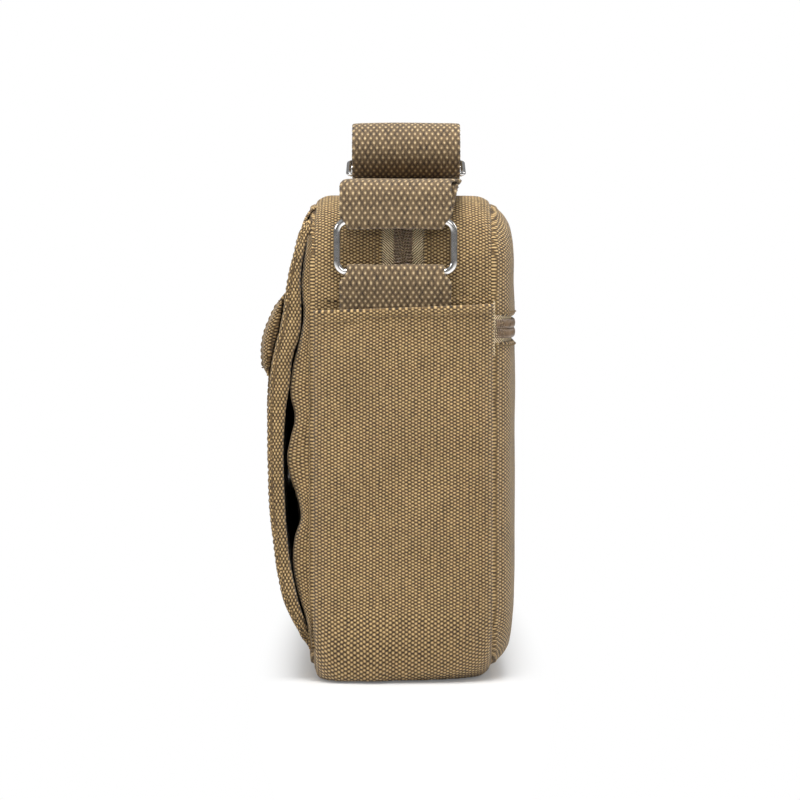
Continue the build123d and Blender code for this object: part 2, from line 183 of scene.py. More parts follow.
def inside(x, z):
    """How far a point lies inside the body's outline."""
    return within(np.abs(x) - (END - CORNER), np.abs(z - TOP / 2) - (TOP / 2 - CORNER), CORNER)


def round_end(z, tip, half, radius):
    """Half the width, at a height, of a panel whose two lower corners are rounded."""
    below = np.clip(tip + radius - z, 0, radius)
    return half - radius + np.sqrt(np.maximum(radius**2 - below**2, 0))


def row_end(z):
    """Half the outline's width at a height."""
    pz = np.maximum(np.abs(z - TOP / 2) - (TOP / 2 - CORNER), 0)
    return END - CORNER + np.sqrt(np.maximum(CORNER**2 - pz**2, 0))


def through(points, at):
    """A smooth curve through a few points, read at the given places."""
    xs, ys = np.array([p[0] for p in points], float), np.array([p[1] for p in points], float)
    slope = np.gradient(ys, xs)
    k = np.clip(np.searchsorted(xs, at) - 1, 0, len(xs) - 2)
    h = xs[k + 1] - xs[k]
    t = np.clip((at - xs[k]) / h, 0, 1)
    return (
        (2 * t**3 - 3 * t**2 + 1) * ys[k]
        + (t**3 - 2 * t**2 + t) * h * slope[k]
        + (3 * t**2 - 2 * t**3) * ys[k + 1]
        + (t**3 - t**2) * h * slope[k + 1]
    )


def ripples(a, b, seed, size, count=7):
    """Slow waves of about the given size over a cloth, from -1 to 1 or so."""
    rng = random.Random(seed)
    total = np.zeros(np.broadcast(a, b).shape)
    for _ in range(count):
        angle, phase = rng.uniform(0, math.pi), rng.uniform(0, math.tau)
        wave = math.tau / (size * rng.uniform(0.6, 1.6))
        total += np.sin((a * math.cos(angle) + b * math.sin(angle)) * wave + phase)
    return total / math.sqrt(count)


def smooth(value, low, high):
    t = np.clip((value - low) / (high - low), 0, 1)
    return t * t * (3 - 2 * t)


def spread(low, high, count, crowd=0.0):
    """Places from low to high, closer together near both ends when crowd is above 0."""
    t = np.linspace(0, 1, count)
    return low + (high - low) * ((1 - crowd) * t + crowd * (0.5 - 0.5 * np.cos(math.pi * t)))


def stretched(low, high, rows, up_crowd, columns, side_crowd, half):
    """x and z of a panel between two heights, as wide at each height as half says."""
    z = spread(low, high, rows, up_crowd)[:, None]
    x = spread(-1, 1, columns, side_crowd)[None, :] * half(z)
    return x, np.broadcast_to(z, x.shape)


def facing(points):
    """The outward direction at each point of a grid whose columns run right and rows up."""
    across, up = np.gradient(points, axis=1), np.gradient(points, axis=0)
    normal = np.cross(across, up)
    return normal / np.maximum(np.linalg.norm(normal, axis=2, keepdims=True), 1e-9)


class Cloth:
    """Grids and tubes of one piece, gathered in millimetres and turned into one mesh."""

    def __init__(self):
        self.points, self.uvs, self.faces = [], [], []

    def take(self, points, uvs):
        start = len(self.points)
        self.points += [tuple(p) for p in points]
        self.uvs += [tuple(p) for p in uvs]
        return start

    def shell(self, points, uv, thick=CANVAS, edge=0.45, out=None):
        """A sheet of cloth with its outer face on the grid, and soft edges all round."""
        rows, columns = points.shape[:2]
        normal = facing(points) if out is None else out
        depth = np.broadcast_to(np.asarray(thick, float), (rows, columns))[..., None]
        inner = points - normal * depth
        first = self.take(points.reshape(-1, 3), uv.reshape(-1, 2))
        second = self.take(inner.reshape(-1, 3), uv.reshape(-1, 2))
        grid = np.arange(rows * columns).reshape(rows, columns)
        a, b, c, d = grid[:-1, :-1], grid[:-1, 1:], grid[1:, 1:], grid[1:, :-1]
        quads = np.stack([a, b, c, d], axis=-1).reshape(-1, 4)
        self.faces += (quads + first).tolist()
        self.faces += (quads[:, ::-1] + second).tolist()
        loop = list(grid[0, :]) + list(grid[1:, -1]) + list(grid[-1, -2::-1]) + list(grid[-2:0:-1, 0])
        flat, deep = points.reshape(-1, 3), inner.reshape(-1, 3)
        pull = np.zeros_like(points)
        pull[0] += points[0] - points[1]
        pull[-1] += points[-1] - points[-2]
        pull[:, 0] += points[:, 0] - points[:, 1]
        pull[:, -1] += points[:, -1] - points[:, -2]
        pull /= np.maximum(np.linalg.norm(pull, axis=2, keepdims=True), 1e-9)
        turned = (flat + deep) / 2 + (pull * depth * edge).reshape(-1, 3)
        third = self.take(turned[loop], uv.reshape(-1, 2)[loop])
        count = len(loop)
        for k in range(count):
            n = (k + 1) % count
            self.faces.append([first + loop[n], first + loop[k], third + k, third + n])
            self.faces.append([third + n, third + k, second + loop[k], second + loop[n]])
        return self

    def tube(self, path, radius, sides, up):
        """A round rope along the points, with rounded ends."""
        path = np.asarray(path, float)
        count = len(path)
        ahead = np.roll(path, -1, 0) - np.roll(path, 1, 0)
        ahead[0], ahead[-1] = path[1] - path[0], path[-1] - path[-2]
        ahead /= np.maximum(np.linalg.norm(ahead, axis=1, keepdims=True), 1e-9)
        side = np.cross(ahead, np.broadcast_to(np.asarray(up, float), path.shape))
        side /= np.maximum(np.linalg.norm(side, axis=1, keepdims=True), 1e-9)
        over = np.cross(side, ahead)
        size = np.broadcast_to(np.asarray(radius, float), (count,)).copy()
        size[0] *= 0.45
        size[-1] *= 0.45
        angle = np.linspace(0, math.tau, sides, endpoint=False)
        ring = np.cos(angle)[None, :, None] * side[:, None, :]
        ring = ring + np.sin(angle)[None, :, None] * over[:, None, :]
        points = path[:, None, :] + ring * size[:, None, None]
        uv = grid(run_along(path)[:, None], angle[None, :] * np.mean(size))
        start = self.take(points.reshape(-1, 3), uv.reshape(-1, 2))
        for k in range(count - 1):
            row, following = start + k * sides, start + (k + 1) * sides
            for j in range(sides):
                m = (j + 1) % sides
                self.faces.append([row + j, row + m, following + m, following + j])
        self.faces.append([start + j for j in reversed(range(sides))])
        self.faces.append([start + (count - 1) * sides + j for j in range(sides)])
        return self

    def piece(self, name, slot, body="bag", finish=None):
        """The finished object, in metres, riding on its body. It stands for the CAD node of its name."""
        mesh = bpy.data.meshes.new(name)
        mesh.from_pydata([tuple(c * MM for c in p) for p in self.points], [], self.faces)
        layer = mesh.uv_layers.new(name="Threads")
        corner = np.empty(len(mesh.loops), dtype=np.int32)
        mesh.loops.foreach_get("vertex_index", corner)
        table = np.array(self.uvs, dtype=np.float32) * MM
        layer.data.foreach_set("uv", table[corner].ravel())
        mesh.polygons.foreach_set("use_smooth", [True] * len(mesh.polygons))
        mesh.materials.append(materials()[finish or slot])
        mesh.update()
        made = bpy.data.objects.new(name, mesh)
        bpy.context.scene.collection.objects.link(made)
        if body:
            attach(made, body)
        if name.lower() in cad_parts:
            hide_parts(name.lower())
        return made


def grid(*layers):
    """Coordinates given as rows, columns or single numbers, stacked into one grid of points."""
    return np.stack(np.broadcast_arrays(*layers), axis=-1).astype(float)


# ---------------------------------------------------------------- materials

MATERIAL_NAMES = {
    "canvas": "Cotton canvas, plain woven",
    "webbing": "Cotton webbing, woven",
    "zip_tape": "Polyester tape, twill woven",
    "lining_cloth": "Polyester lining, plain woven",
    "zip_coil": "Nylon coil, moulded",
    "thread": "Polyester thread, spun",
    "ring_steel": "Steel wire, nickel plated",
    "zip_brass": "Zinc casting, brass plated",
    "snap_steel": "Steel cap, pressed",
    "hook_tape": "Nylon hook tape, woven",
    "foam": "Polyurethane foam, cut",
    "board": "Paperboard, pressed",
    "floor": "Studio floor, painted",
}
FADE = 0.07  # how much lighter or darker the washed patches are


def add(tree, kind, inputs, output=0, **settings):
    """One node with its settings, its inputs set or linked. Gives back one of its outputs."""
    node = tree.nodes.new("ShaderNode" + kind)
    for key, value in settings.items():
        setattr(node, key, value)
    for socket, value in inputs.items():
        if isinstance(value, bpy.types.NodeSocket):
            tree.links.new(value, node.inputs[socket])
        else:
            node.inputs[socket].default_value = value
    return node.outputs[output]


def fresh(key, **finish):
    """A new material with its shader, and the shader's constant sockets set."""
    made = bpy.data.materials.new(MATERIAL_NAMES[key])
    made.use_nodes = True
    tree = made.node_tree
    shader = tree.nodes["Principled BSDF"]
    for key, value in finish.items():
        shader.inputs[key.replace("_", " ")].default_value = value
    return made, tree, shader


def woven(
    key, warp, weft, hollow, side, crown, relief, fray=0.34, twill=False, depth=0.62, ribs=0.0, middle_at=0.48
):
    """Over-and-under threads at their real spacing, each thread a little different."""
    made, tree, shader = fresh(key, Roughness=0.88, Sheen_Weight=0.12, Sheen_Roughness=0.5)
    threads = add(tree, "UVMap", {}, uv_map="Threads")
    # threads in real cloth wander: a slow noise of about 7 mm shifts them a fraction of a spacing
    wander = add(tree, "TexNoise", {"Vector": threads, "Scale": 150.0, "Detail": 2.0}, "Color")
    centred = add(tree, "VectorMath", {0: wander, 1: (0.5, 0.5, 0.5)}, operation="SUBTRACT")
    shift = add(tree, "VectorMath", {0: centred, "Scale": warp * 0.7}, operation="SCALE")
    moved = add(tree, "VectorMath", {0: threads, 1: shift}, operation="ADD")
    place = add(tree, "SeparateXYZ", {0: moved}).node.outputs
    if twill:
        slope = add(tree, "Math", {0: place[0], 1: place[1]}, operation="ADD")
        across = add(tree, "Math", {0: slope, 1: math.tau / warp}, operation="MULTIPLY")
        over = add(tree, "Math", {0: across}, operation="SINE")
    else:
        across = add(tree, "Math", {0: place[0], 1: math.pi / warp}, operation="MULTIPLY")
        along = add(tree, "Math", {0: place[1], 1: math.pi / weft}, operation="MULTIPLY")
        one = add(tree, "Math", {0: across}, operation="COSINE")
        two = add(tree, "Math", {0: along}, operation="COSINE")
        # close-set oval crowns with a thin dark net between them
        wide, narrow = (one, two) if warp > weft else (two, one)
        sum_of = add(tree, "Math", {0: wide, 1: 0.5, 2: narrow}, operation="MULTIPLY_ADD")
        crowns = add(tree, "Math", {0: wide, 1: sum_of}, operation="MULTIPLY")
        over = add(tree, "Math", {0: crowns, 1: 0.8, 2: -0.2}, operation="MULTIPLY_ADD")
    # streaks along single threads, blotches over a few threads, and fluff finer than a thread
    fibres = add(tree, "TexNoise", {"Vector": threads, "Scale": 1900.0, "Detail": 2.0})
    streaks = []
    for stretch in ((1 / warp, 110.0, 0.0), (0.45 / warp, 0.55 / weft, 0.0)):
        pulled = add(tree, "VectorMath", {0: threads, 1: stretch}, operation="MULTIPLY")
        streaks.append(add(tree, "TexNoise", {"Vector": pulled, "Scale": 1.0, "Detail": 2.0}))
    both = add(tree, "Math", {0: streaks[0], 1: streaks[1]}, operation="ADD")
    fibres = add(tree, "Math", {0: fibres, 1: both}, operation="ADD")
    uneven = add(tree, "Math", {0: fibres, 1: fray, 2: 0.5 - 1.5 * fray}, operation="MULTIPLY_ADD")
    if ribs:
        # thick ribs stand apart: a dark line of painted shade runs between each two of them
        rib = add(tree, "Math", {0: one}, operation="ABSOLUTE")
        gap = add(tree, "MapRange", {0: rib, 1: 0.0, 2: 0.55, 3: -ribs, 4: 0.0})
        uneven = add(tree, "Math", {0: uneven, 1: gap}, operation="ADD")
    # the ramp runs from the hollow colour to the crown colour: darker hollows between the threads are painted
    # shade and paler crowns are painted highlight, laid over the weave's own thread pattern
    shade = add(tree, "Math", {0: over, 1: depth, 2: uneven}, operation="MULTIPLY_ADD")
    shaded = add(tree, "ValToRGB", {0: shade})
    ramp = shaded.node.color_ramp.elements
    ramp[0].position, ramp[0].color = 0.14, hollow
    ramp[1].position, ramp[1].color = 0.92, crown
    ramp.new(middle_at).color = side
    if ribs:
        # a darker stop below the middle deepens that painted shade beside each rib
        ramp.new(middle_at - 0.3).color = tuple(0.72 * c for c in side[:3]) + (1.0,)
    # washed cloth fades in soft patches some centimetres across
    patch = add(tree, "TexNoise", {"Vector": threads, "Scale": 22.0, "Detail": 3.0})
    fade = add(tree, "MapRange", {0: patch, 1: 0.3, 2: 0.7, 3: 1 - FADE, 4: 1 + FADE})
    washed = add(tree, "VectorMath", {0: shaded, "Scale": fade}, operation="SCALE")
    tree.links.new(washed, shader.inputs["Base Color"])
    height = add(tree, "Math", {0: over, 1: 0.6, 2: fibres}, operation="MULTIPLY_ADD")
    bump = add(tree, "Bump", {"Height": height, "Strength": 1.0, "Distance": relief})
    tree.links.new(bump, shader.inputs["Normal"])
    return made


def speckled(key, shade, rough, size, spread_by, relief=0.0, **finish):
    """A smooth surface whose colour and roughness drift at the given size."""
    made, tree, shader = fresh(key, **finish)
    where = add(tree, "TexCoord", {}, "Object")
    grain = add(tree, "TexNoise", {"Vector": where, "Scale": 1 / size, "Detail": 4.0})
    tint = add(tree, "MapRange", {0: grain, 1: 0.25, 2: 0.75, 3: 1 - spread_by, 4: 1 + spread_by})
    mixed = add(tree, "VectorMath", {0: shade[:3], "Scale": tint}, operation="SCALE")
    tree.links.new(mixed, shader.inputs["Base Color"])
    dull = add(tree, "MapRange", {0: grain, 1: 0.25, 2: 0.75, 3: rough * 0.8, 4: rough * 1.25})
    tree.links.new(dull, shader.inputs["Roughness"])
    if relief:
        bump = add(tree, "Bump", {"Height": grain, "Strength": 1.0, "Distance": relief})
        tree.links.new(bump, shader.inputs["Normal"])
    return made


def materials():
    """The bag's materials, made once and then found by name."""
    if MATERIAL_NAMES["canvas"] in bpy.data.materials:
        return {key: bpy.data.materials[full] for key, full in MATERIAL_NAMES.items()}
    cloth, trim = bpy.context.scene.bag_cloth, bpy.context.scene.bag_trim
    made = (
        # Heavy cotton: pale thread crowns in a brick pattern over brown hollows, dry with faint fuzz; the
        # crowns' paleness is partly painted highlight and the hollows' darkness partly painted shade.
        woven("canvas", cloth.warp, cloth.weft, cloth.dark, cloth.body, cloth.light, 0.00035),
        # Cotton webbing: coarser ribs and rows than the canvas, so it looks knotted and chunky, with painted
        # shade between its ribs.
        woven(
            "webbing",
            cloth.rib,
            cloth.row,
            linear("#20140a"),
            linear("#7a6446"),
            linear("#c0aa82"),
            0.0004,
            fray=0.32,
            depth=0.44,
            ribs=0.26,
            middle_at=0.7,
        ),
        # Polyester tape in a 1.3 mm twill: fine slanting lines beside the zip coil.
        woven(
            "zip_tape",
            0.0013,
            0.0013,
            linear("#58422a"),
            linear("#c2aa80"),
            linear("#f0dcb4"),
            0.00025,
            fray=0.25,
            twill=True,
        ),
        # Thin polyester lining, 0.4 mm threads drawn at 0.8 mm so that they show at all.
        woven(
            "lining_cloth",
            0.0008,
            0.0008,
            linear("#3b3025"),
            linear("#54463a"),
            linear("#6f6152"),
            0.0001,
            fray=0.2,
        ),
        # Moulded nylon coil: soft plastic gleam on every turn.
        speckled("zip_coil", trim.coil, 0.32, 0.004, 0.25, Coat_Weight=0.5, IOR=1.53),
        # Spun thread: dry and matt, close to the cloth's own brown.
        speckled("thread", trim.thread, 0.8, 0.0012, 0.3, 0.0001),
        # Nickel-plated steel wire: bright, its reflections softened by handling.
        speckled("ring_steel", trim.steel, 0.2, 0.003, 0.05, Metallic=1.0),
        # Tumbled brass plating on zinc: warm grey-yellow with a softer shine.
        speckled("zip_brass", trim.brass, 0.32, 0.002, 0.15, Metallic=1.0),
        # Pressed steel snap caps, brushed dull by use.
        speckled("snap_steel", linear("#a9a7a3"), 0.3, 0.0015, 0.1, Metallic=1.0),
        # Hook-and-loop nylon: a deep pile of 0.5 mm hooks drawn at 1 mm.
        speckled("hook_tape", linear("#4a3b28"), 0.9, 0.001, 0.5, 0.0008, Sheen_Weight=0.3),
        # Open-cell foam sheet, grey-white with fine pores.
        speckled("foam", linear("#b9b4a8"), 0.95, 0.001, 0.12, 0.0004),
        # Pressed paperboard: flecked brown fibres.
        speckled("board", linear("#6b5a44"), 0.85, 0.0015, 0.2, 0.0001),
    )
    keys = [key for key in MATERIAL_NAMES if key != "floor"]
    return dict(zip(keys, made))


# ---------------------------------------------------------------- body shapes


FREE = 34.0  # past this distance from the middle the seams start to pull the skin in


def sunk(up):
    """How deep the body's edges are drawn in, more on the top and the base than at the sides."""
    return 1.8 + 2.2 * np.abs(up)


def seam_pull(y, up):
    """How far the body's skin draws in towards its seams."""
    reach = np.clip((np.abs(y) - FREE) / (SEAM - FREE), 0, 1)
    groove = 1.4 * smooth(np.abs(y), SEAM - 1.6, SEAM - 0.2)
    return sunk(up) * reach**2 + groove


def wall_grid(start, end, rows, y_low, y_high, columns, seed, inset=0.0):
    """A strip of the body's skin between two places on its outline."""
    s, y = np.linspace(start, end, rows), spread(y_low, y_high, columns, 0.6)
    x, z, nx, nz = outline(s, inset)
    slack = bpy.context.scene.bag_cloth.slack / MM
    pulled = seam_pull(y[None, :], nz[:, None])
    calm = 1 - np.clip((np.abs(y[None, :]) - FREE) / 7, 0, 1)
    pulled = pulled + slack * (0.5 + 0.5 * ripples(s[:, None], y[None, :], seed, 46.0)) * calm
    # seams gather the cloth into small even puckers
    near = np.clip((np.abs(y[None, :]) - 36) / 5, 0, 1)
    pulled = pulled + 0.25 * near * ripples(s[:, None], 0 * y[None, :], seed + 5, 9.0)
    points = grid(x[:, None] - nx[:, None] * pulled, y[None, :], z[:, None] - nz[:, None] * pulled)
    return points, grid(y[None, :], s[:, None])


def drawn_in(x, z):
    """Panel points moved in from the outline to meet the drawn-in skin at the seam."""
    px, pz = np.abs(x) - (END - CORNER), np.abs(z - TOP / 2) - (TOP / 2 - CORNER)
    qx, qz = np.maximum(px, 0), np.maximum(pz, 0)
    corner = (qx > 0) & (qz > 0)
    size = np.maximum(np.hypot(qx, qz), 1e-9)
    nx = np.where(corner, qx / size, (px > pz) * 1.0) * np.sign(x)
    nz = np.where(corner, qz / size, (px <= pz) * 1.0) * np.sign(z - TOP / 2)
    amount = sunk(nz) * (1 - smooth(inside(x, z), 0, 26))
    return x - nx * amount, z - nz * amount


def panel_grid(z_low, z_high, rows, columns, face, depth, seed):
    """A front (face -1) or back (face +1) panel between two heights, its depth read from a table."""
    z = spread(z_low, z_high, rows, 0.9)[:, None]
    t = spread(-1, 1, columns, 0.75)[None, :] * face
    x = t * row_end(z) * (-1)
    z = np.broadcast_to(z, x.shape)
    d = np.maximum(inside(x, z), 0)
    y = face * (SEAM + through(depth, d))
    slack = bpy.context.scene.bag_cloth.slack / MM
    y = y - face * slack * (0.5 + 0.5 * ripples(x, z, seed, 60.0)) * smooth(d, 2, 25)
    x2, z2 = drawn_in(x, z)
    return grid(x2, y, z2), grid(x, z)


# Back panel's depth behind the seam, by the distance in from its edge.
DOME = [(0, 0), (0.8, 1.9), (2.2, 2.9), (4, 4.6), (9, 7.6), (17, 9.6), (27, 10.9), (42, 11.9), (120, 12.4)]
# Front panel: a turned seam ridge, then flat canvas.
FLAT = [(0, 0), (0.7, 1.5), (1.8, 2.0), (3.2, 1.3), (6, 1.6), (120, 1.7)]

# What wall_grid and panel_grid are given for each piece, so that its stitches find the same cloth.
TOP_STRIPS = {
    "front": (TO_SIDE_TOP, OUTLINE - TO_SIDE_TOP, 220, -SEAM, -ZIP_WINDOW, 24, 11),
    "back": (TO_SIDE_TOP, OUTLINE - TO_SIDE_TOP, 220, ZIP_WINDOW, SEAM, 24, 17),
}
BACK_PANELS = {
    "lower": (0, 156.2, 96, 140, 1, DOME, 29),
    "upper": (169.6, TOP, 44, 140, 1, DOME, 31),
}


class BAG_OT_body(bpy.types.Operator):
    """Sew the gusset, the top strips and the front and back panels"""

    bl_idname = "bag.body"
    bl_label = "Body"

    def execute(self, context):
        points, uv = wall_grid(-TO_SIDE_TOP - 1, TO_SIDE_TOP + 1, 330, -SEAM, SEAM, 46, 3)
        Cloth().shell(points, uv).piece("Gusset", "canvas")
        for name, strip in TOP_STRIPS.items():
            points, uv = wall_grid(*strip)
            Cloth().shell(points, uv, 1.9, edge=0.55).piece(f"Top_strip_{name}", "canvas")
        points, uv = panel_grid(0, TOP, 110, 130, -1, FLAT, 23)
        Cloth().shell(points, uv).piece("Front_panel", "canvas")
        for name, panel in BACK_PANELS.items():
            points, uv = panel_grid(*panel)
            Cloth().shell(points, uv, 1.7, edge=0.55).piece(f"Back_panel_{name}", "canvas")
        return {"FINISHED"}


POCKET_MOUTH = 172.0
END_POCKETS = {"right": 41, "left": 43}  # seed of each pocket's folds


def end_pocket_grid(side):
    """One end pocket, from under the base corner up to its mouth."""
    seed = END_POCKETS[side]
    up_start = (END - CORNER) + math.radians(9) * CORNER
    mouth = (END - CORNER) + math.pi / 2 * CORNER + (POCKET_MOUTH - CORNER)
    y = spread(-SEAM, SEAM, 50, 0.7)[None, :]
    t = np.linspace(0, 1, 120)[:, None]
    s = up_start + t * (mouth + 1.6 * y / SEAM - up_start)
    x, z, nx, nz = outline(s)
    belly = 1 - np.abs(y / SEAM) ** 4
    full = smooth(s, up_start - 8, up_start + 24) * (1 - 0.2 * smooth(s, mouth - 26, mouth))
    sag = ripples(s, y, seed, 55.0) * 0.9 * belly + 0.35 * ripples(s * 0.3, y, seed + 2, 13.0) * belly
    out = 1.7 + 5.0 * belly * full + sag * full
    low = 1 - smooth(s, up_start + 20, up_start + 70)
    out = out - seam_pull(y, nz) * 0.9 - 1.2 * low * y / SEAM
    hem = 0.5 * smooth(s, mouth - 3.2, mouth - 2.2)
    out = np.clip(out + hem, -4, 7.6)
    # the pocket's weight fills its lower corner, most of all at the front
    bend = (END - CORNER) + math.pi / 4 * CORNER
    out = out + belly**0.5 * 6.5 * (1.0 - 0.45 * y / SEAM) * np.exp(-(((s - bend) / 15) ** 2))
    height = np.maximum(z + nz * out, 0.15)
    points, uv = grid(x + nx * out, y, height), grid(y, s)
    if side == "left":
        return (points * np.array([-1.0, 1.0, 1.0]))[:, ::-1], uv[:, ::-1]
    return points, uv


class BAG_OT_end_pockets(bpy.types.Operator):
    """Sew the open pocket on each end"""

    bl_idname = "bag.end_pockets"
    bl_label = "End pockets"

    def execute(self, context):
        for side in END_POCKETS:
            points, uv = end_pocket_grid(side)
            Cloth().shell(points, uv, 1.5, edge=0.6).piece(f"End_pocket_{side}", "canvas")
        return {"FINISHED"}


# Side edge of the front pocket: depth before the bag's middle at each height, with its folds.
POCKET_EDGE = [(14, 42.2), (29, 45.0), (39, 48.2), (50, 50.5), (59, 51.0), (67, 50.0), (76, 47.3), (84, 48.7)]
POCKET_EDGE += [(95, 52.3), (103, 53.7), (113, 51.9), (123, 50.0), (131, 51.9), (145, 50.9), (154, 48.7)]
POCKET_EDGE += [(169, 45.9), (183, 47.0), (195, 45.7), (209, 43.3)]
POCKET_FACE = [(14, 44.6), (55, 48.6), (100, 52.0), (140, 52.2), (168, 50.4), (209, 46.0)]


class BAG_OT_front_pocket(bpy.types.Operator):
    """Sew the bellows pocket under the flap"""

    bl_idname = "bag.front_pocket"
    bl_label = "Front pocket"

    def execute(self, context):
        half, low, mouth, seam = 141.0, 15.0, 168.0, 42.0
        face = spread(-half + 2, half - 2, 90, 0.7)
        wall = np.linspace(0, 1, 12)
        across = np.concatenate([-half - 0 * wall, face, half + 0 * wall])
        share = np.concatenate([wall, np.ones(90), wall[::-1]])
        # the mouth rises at both sides, where the bellows is sewn up the seam
        top = mouth + 38.0 * smooth(np.abs(across), 118, 133)
        t = spread(0, 1, 110, 0.4)[:, None]
        z = low + t * (top[None, :] - low)
        edge = through(POCKET_EDGE, z)
        middle = through(POCKET_FACE, z)
        mix = smooth(np.abs(across)[None, :], 92, 132)
        deep = edge * mix + middle * (1 - mix)
        deep = deep + 0.5 * ripples(across[None, :], z, 51, 38.0) * (1 - mix)
        y = -(seam + (deep - seam) * share[None, :])
        pleat = np.sin(math.pi * share)[None, :] * (0.5 * ripples(z, 0 * z, 53, 30.0) - 1.2)
        round_off = 1.8 * smooth(share[None, :], 0.7, 1.0)
        inward = np.where(np.abs(across)[None, :] >= half, pleat + round_off, 0)
        x = across[None, :] - np.sign(across)[None, :] * inward
        run = np.concatenate([-half - (1 - wall) * 9, face, half + (1 - wall[::-1]) * 9])
        Cloth().shell(grid(x, y, z), grid(run[None, :], z), 1.5, edge=0.5).piece("Front_pocket", "canvas")
        return {"FINISHED"}


# Flap's outer and inner faces: height, and depth before the bag's middle.
FLAP_FACE = [(10, 42.0), (18, 46.6), (27, 50.9), (37, 55.0), (50, 57.9), (65, 59.9), (82, 61.7), (95, 62.1)]
FLAP_FACE += [(112, 62.4), (127, 62.1), (141, 61.0), (151, 59.6), (161, 57.0), (170, 55.2), (179, 54.0)]
FLAP_FACE += [(188, 52.6), (197, 50.3), (205, 48.4), (212, 45.9), (218, 43.5)]
FLAP_BACK = [(10, 40.5), (15, 45.0), (35, 49.7), (65, 53.9), (107, 56.2), (141, 55.2), (167, 51.9)]
FLAP_BACK += [(194, 47.6), (205, 45.6), (215, 43.0)]
# Depth of the flap's turned side edge, which rests near the pocket below it.
FLAP_LIP = [(10, 41.0), (24, 44.6), (34, 47.8), (44, 50.1), (55, 52.3), (68, 53.7), (84, 54.7), (103, 55.3)]
FLAP_LIP += [(115, 55.0), (127, 54.0), (135, 52.7), (151, 50.7), (160, 47.8), (172, 46.9), (182, 47.3)]
FLAP_LIP += [(192, 46.7), (202, 44.6), (210, 42.2), (218, 41.0)]
FLAP_HALF = 143.0
FLAP_TIP = 12.0
FLAP_CORNER = 28.0
FLAP_TOP = 213.0


def flap_end(z):
    """Half the flap's width at a height."""
    round_tip = round_end(z, FLAP_TIP, FLAP_HALF, FLAP_CORNER)
    return np.minimum(round_tip, np.where(z > TOP / 2, row_end(z) - 2.2, FLAP_HALF))


def flap_inside(x, z):
    """Distance in from the flap's side and tip edges."""
    return within(np.abs(x) - (FLAP_HALF - FLAP_CORNER), FLAP_TIP + FLAP_CORNER - z, FLAP_CORNER)


def flap_waves(x, z):
    return 0.45 * ripples(x, z, 61, 70.0)


def flap_padding(z):
    """How far the padding lifts the flap's face at a height, away from its edges."""
    return 0.7 * smooth(z, 20, 60) * (1 - smooth(z, 150, 195))


def patch_rise(edge):
    """How far the patch pocket stands off the flap, at a distance in from its edge."""
    return 1.55 + 1.1 * smooth(edge, 1, 24)


def lid_waves(x, z, edge):
    return 0.4 * ripples(x, z, 89, 45.0) * smooth(edge, 3, 18)


def flap_face(x, z):
    """Depth of the flap's outer face, crowned over its padding and rolled at the edges."""
    d = flap_inside(x, z)
    rolled = 0.5 * (1 - smooth(d, 0, 5)) ** 1.5 + 1.2 * smooth(z, 206, 211)
    padding = flap_padding(z) * smooth(d, 4, 40)
    return through(FLAP_FACE, z) - rolled + padding + flap_waves(x, z) * smooth(d, 3, 25)


def flap_rim(count=420):
    """Points round the flap's edge, from the upper left down past the tip to the upper right."""
    side = FLAP_TOP - FLAP_TIP - FLAP_CORNER
    base = 2 * (FLAP_HALF - FLAP_CORNER)
    arc = math.pi / 2 * FLAP_CORNER
    s = np.linspace(0, 2 * side + 2 * arc + base, count)
    x, z, nx, nz = [np.zeros(count) for _ in range(4)]
    for k, d in enumerate(s):
        if d <= side:
            x[k], z[k], nx[k] = -FLAP_HALF, FLAP_TOP - d, -1
        elif d <= side + arc:
            turn = math.pi + (d - side) / FLAP_CORNER
            nx[k], nz[k] = math.cos(turn), math.sin(turn)
            x[k] = FLAP_CORNER - FLAP_HALF + nx[k] * FLAP_CORNER
            z[k] = FLAP_TIP + FLAP_CORNER + nz[k] * FLAP_CORNER
        elif d <= side + arc + base:
            x[k], z[k], nz[k] = FLAP_CORNER - FLAP_HALF + d - side - arc, FLAP_TIP, -1
        elif d <= side + 2 * arc + base:
            turn = 1.5 * math.pi + (d - side - arc - base) / FLAP_CORNER
            nx[k], nz[k] = math.cos(turn), math.sin(turn)
            x[k] = FLAP_HALF - FLAP_CORNER + nx[k] * FLAP_CORNER
            z[k] = FLAP_TIP + FLAP_CORNER + nz[k] * FLAP_CORNER
        else:
            x[k], z[k], nx[k] = FLAP_HALF, FLAP_TIP + FLAP_CORNER + d - side - 2 * arc - base, 1
    x = np.sign(x) * np.minimum(np.abs(x), flap_end(z))
    return s, x, z, nx, nz


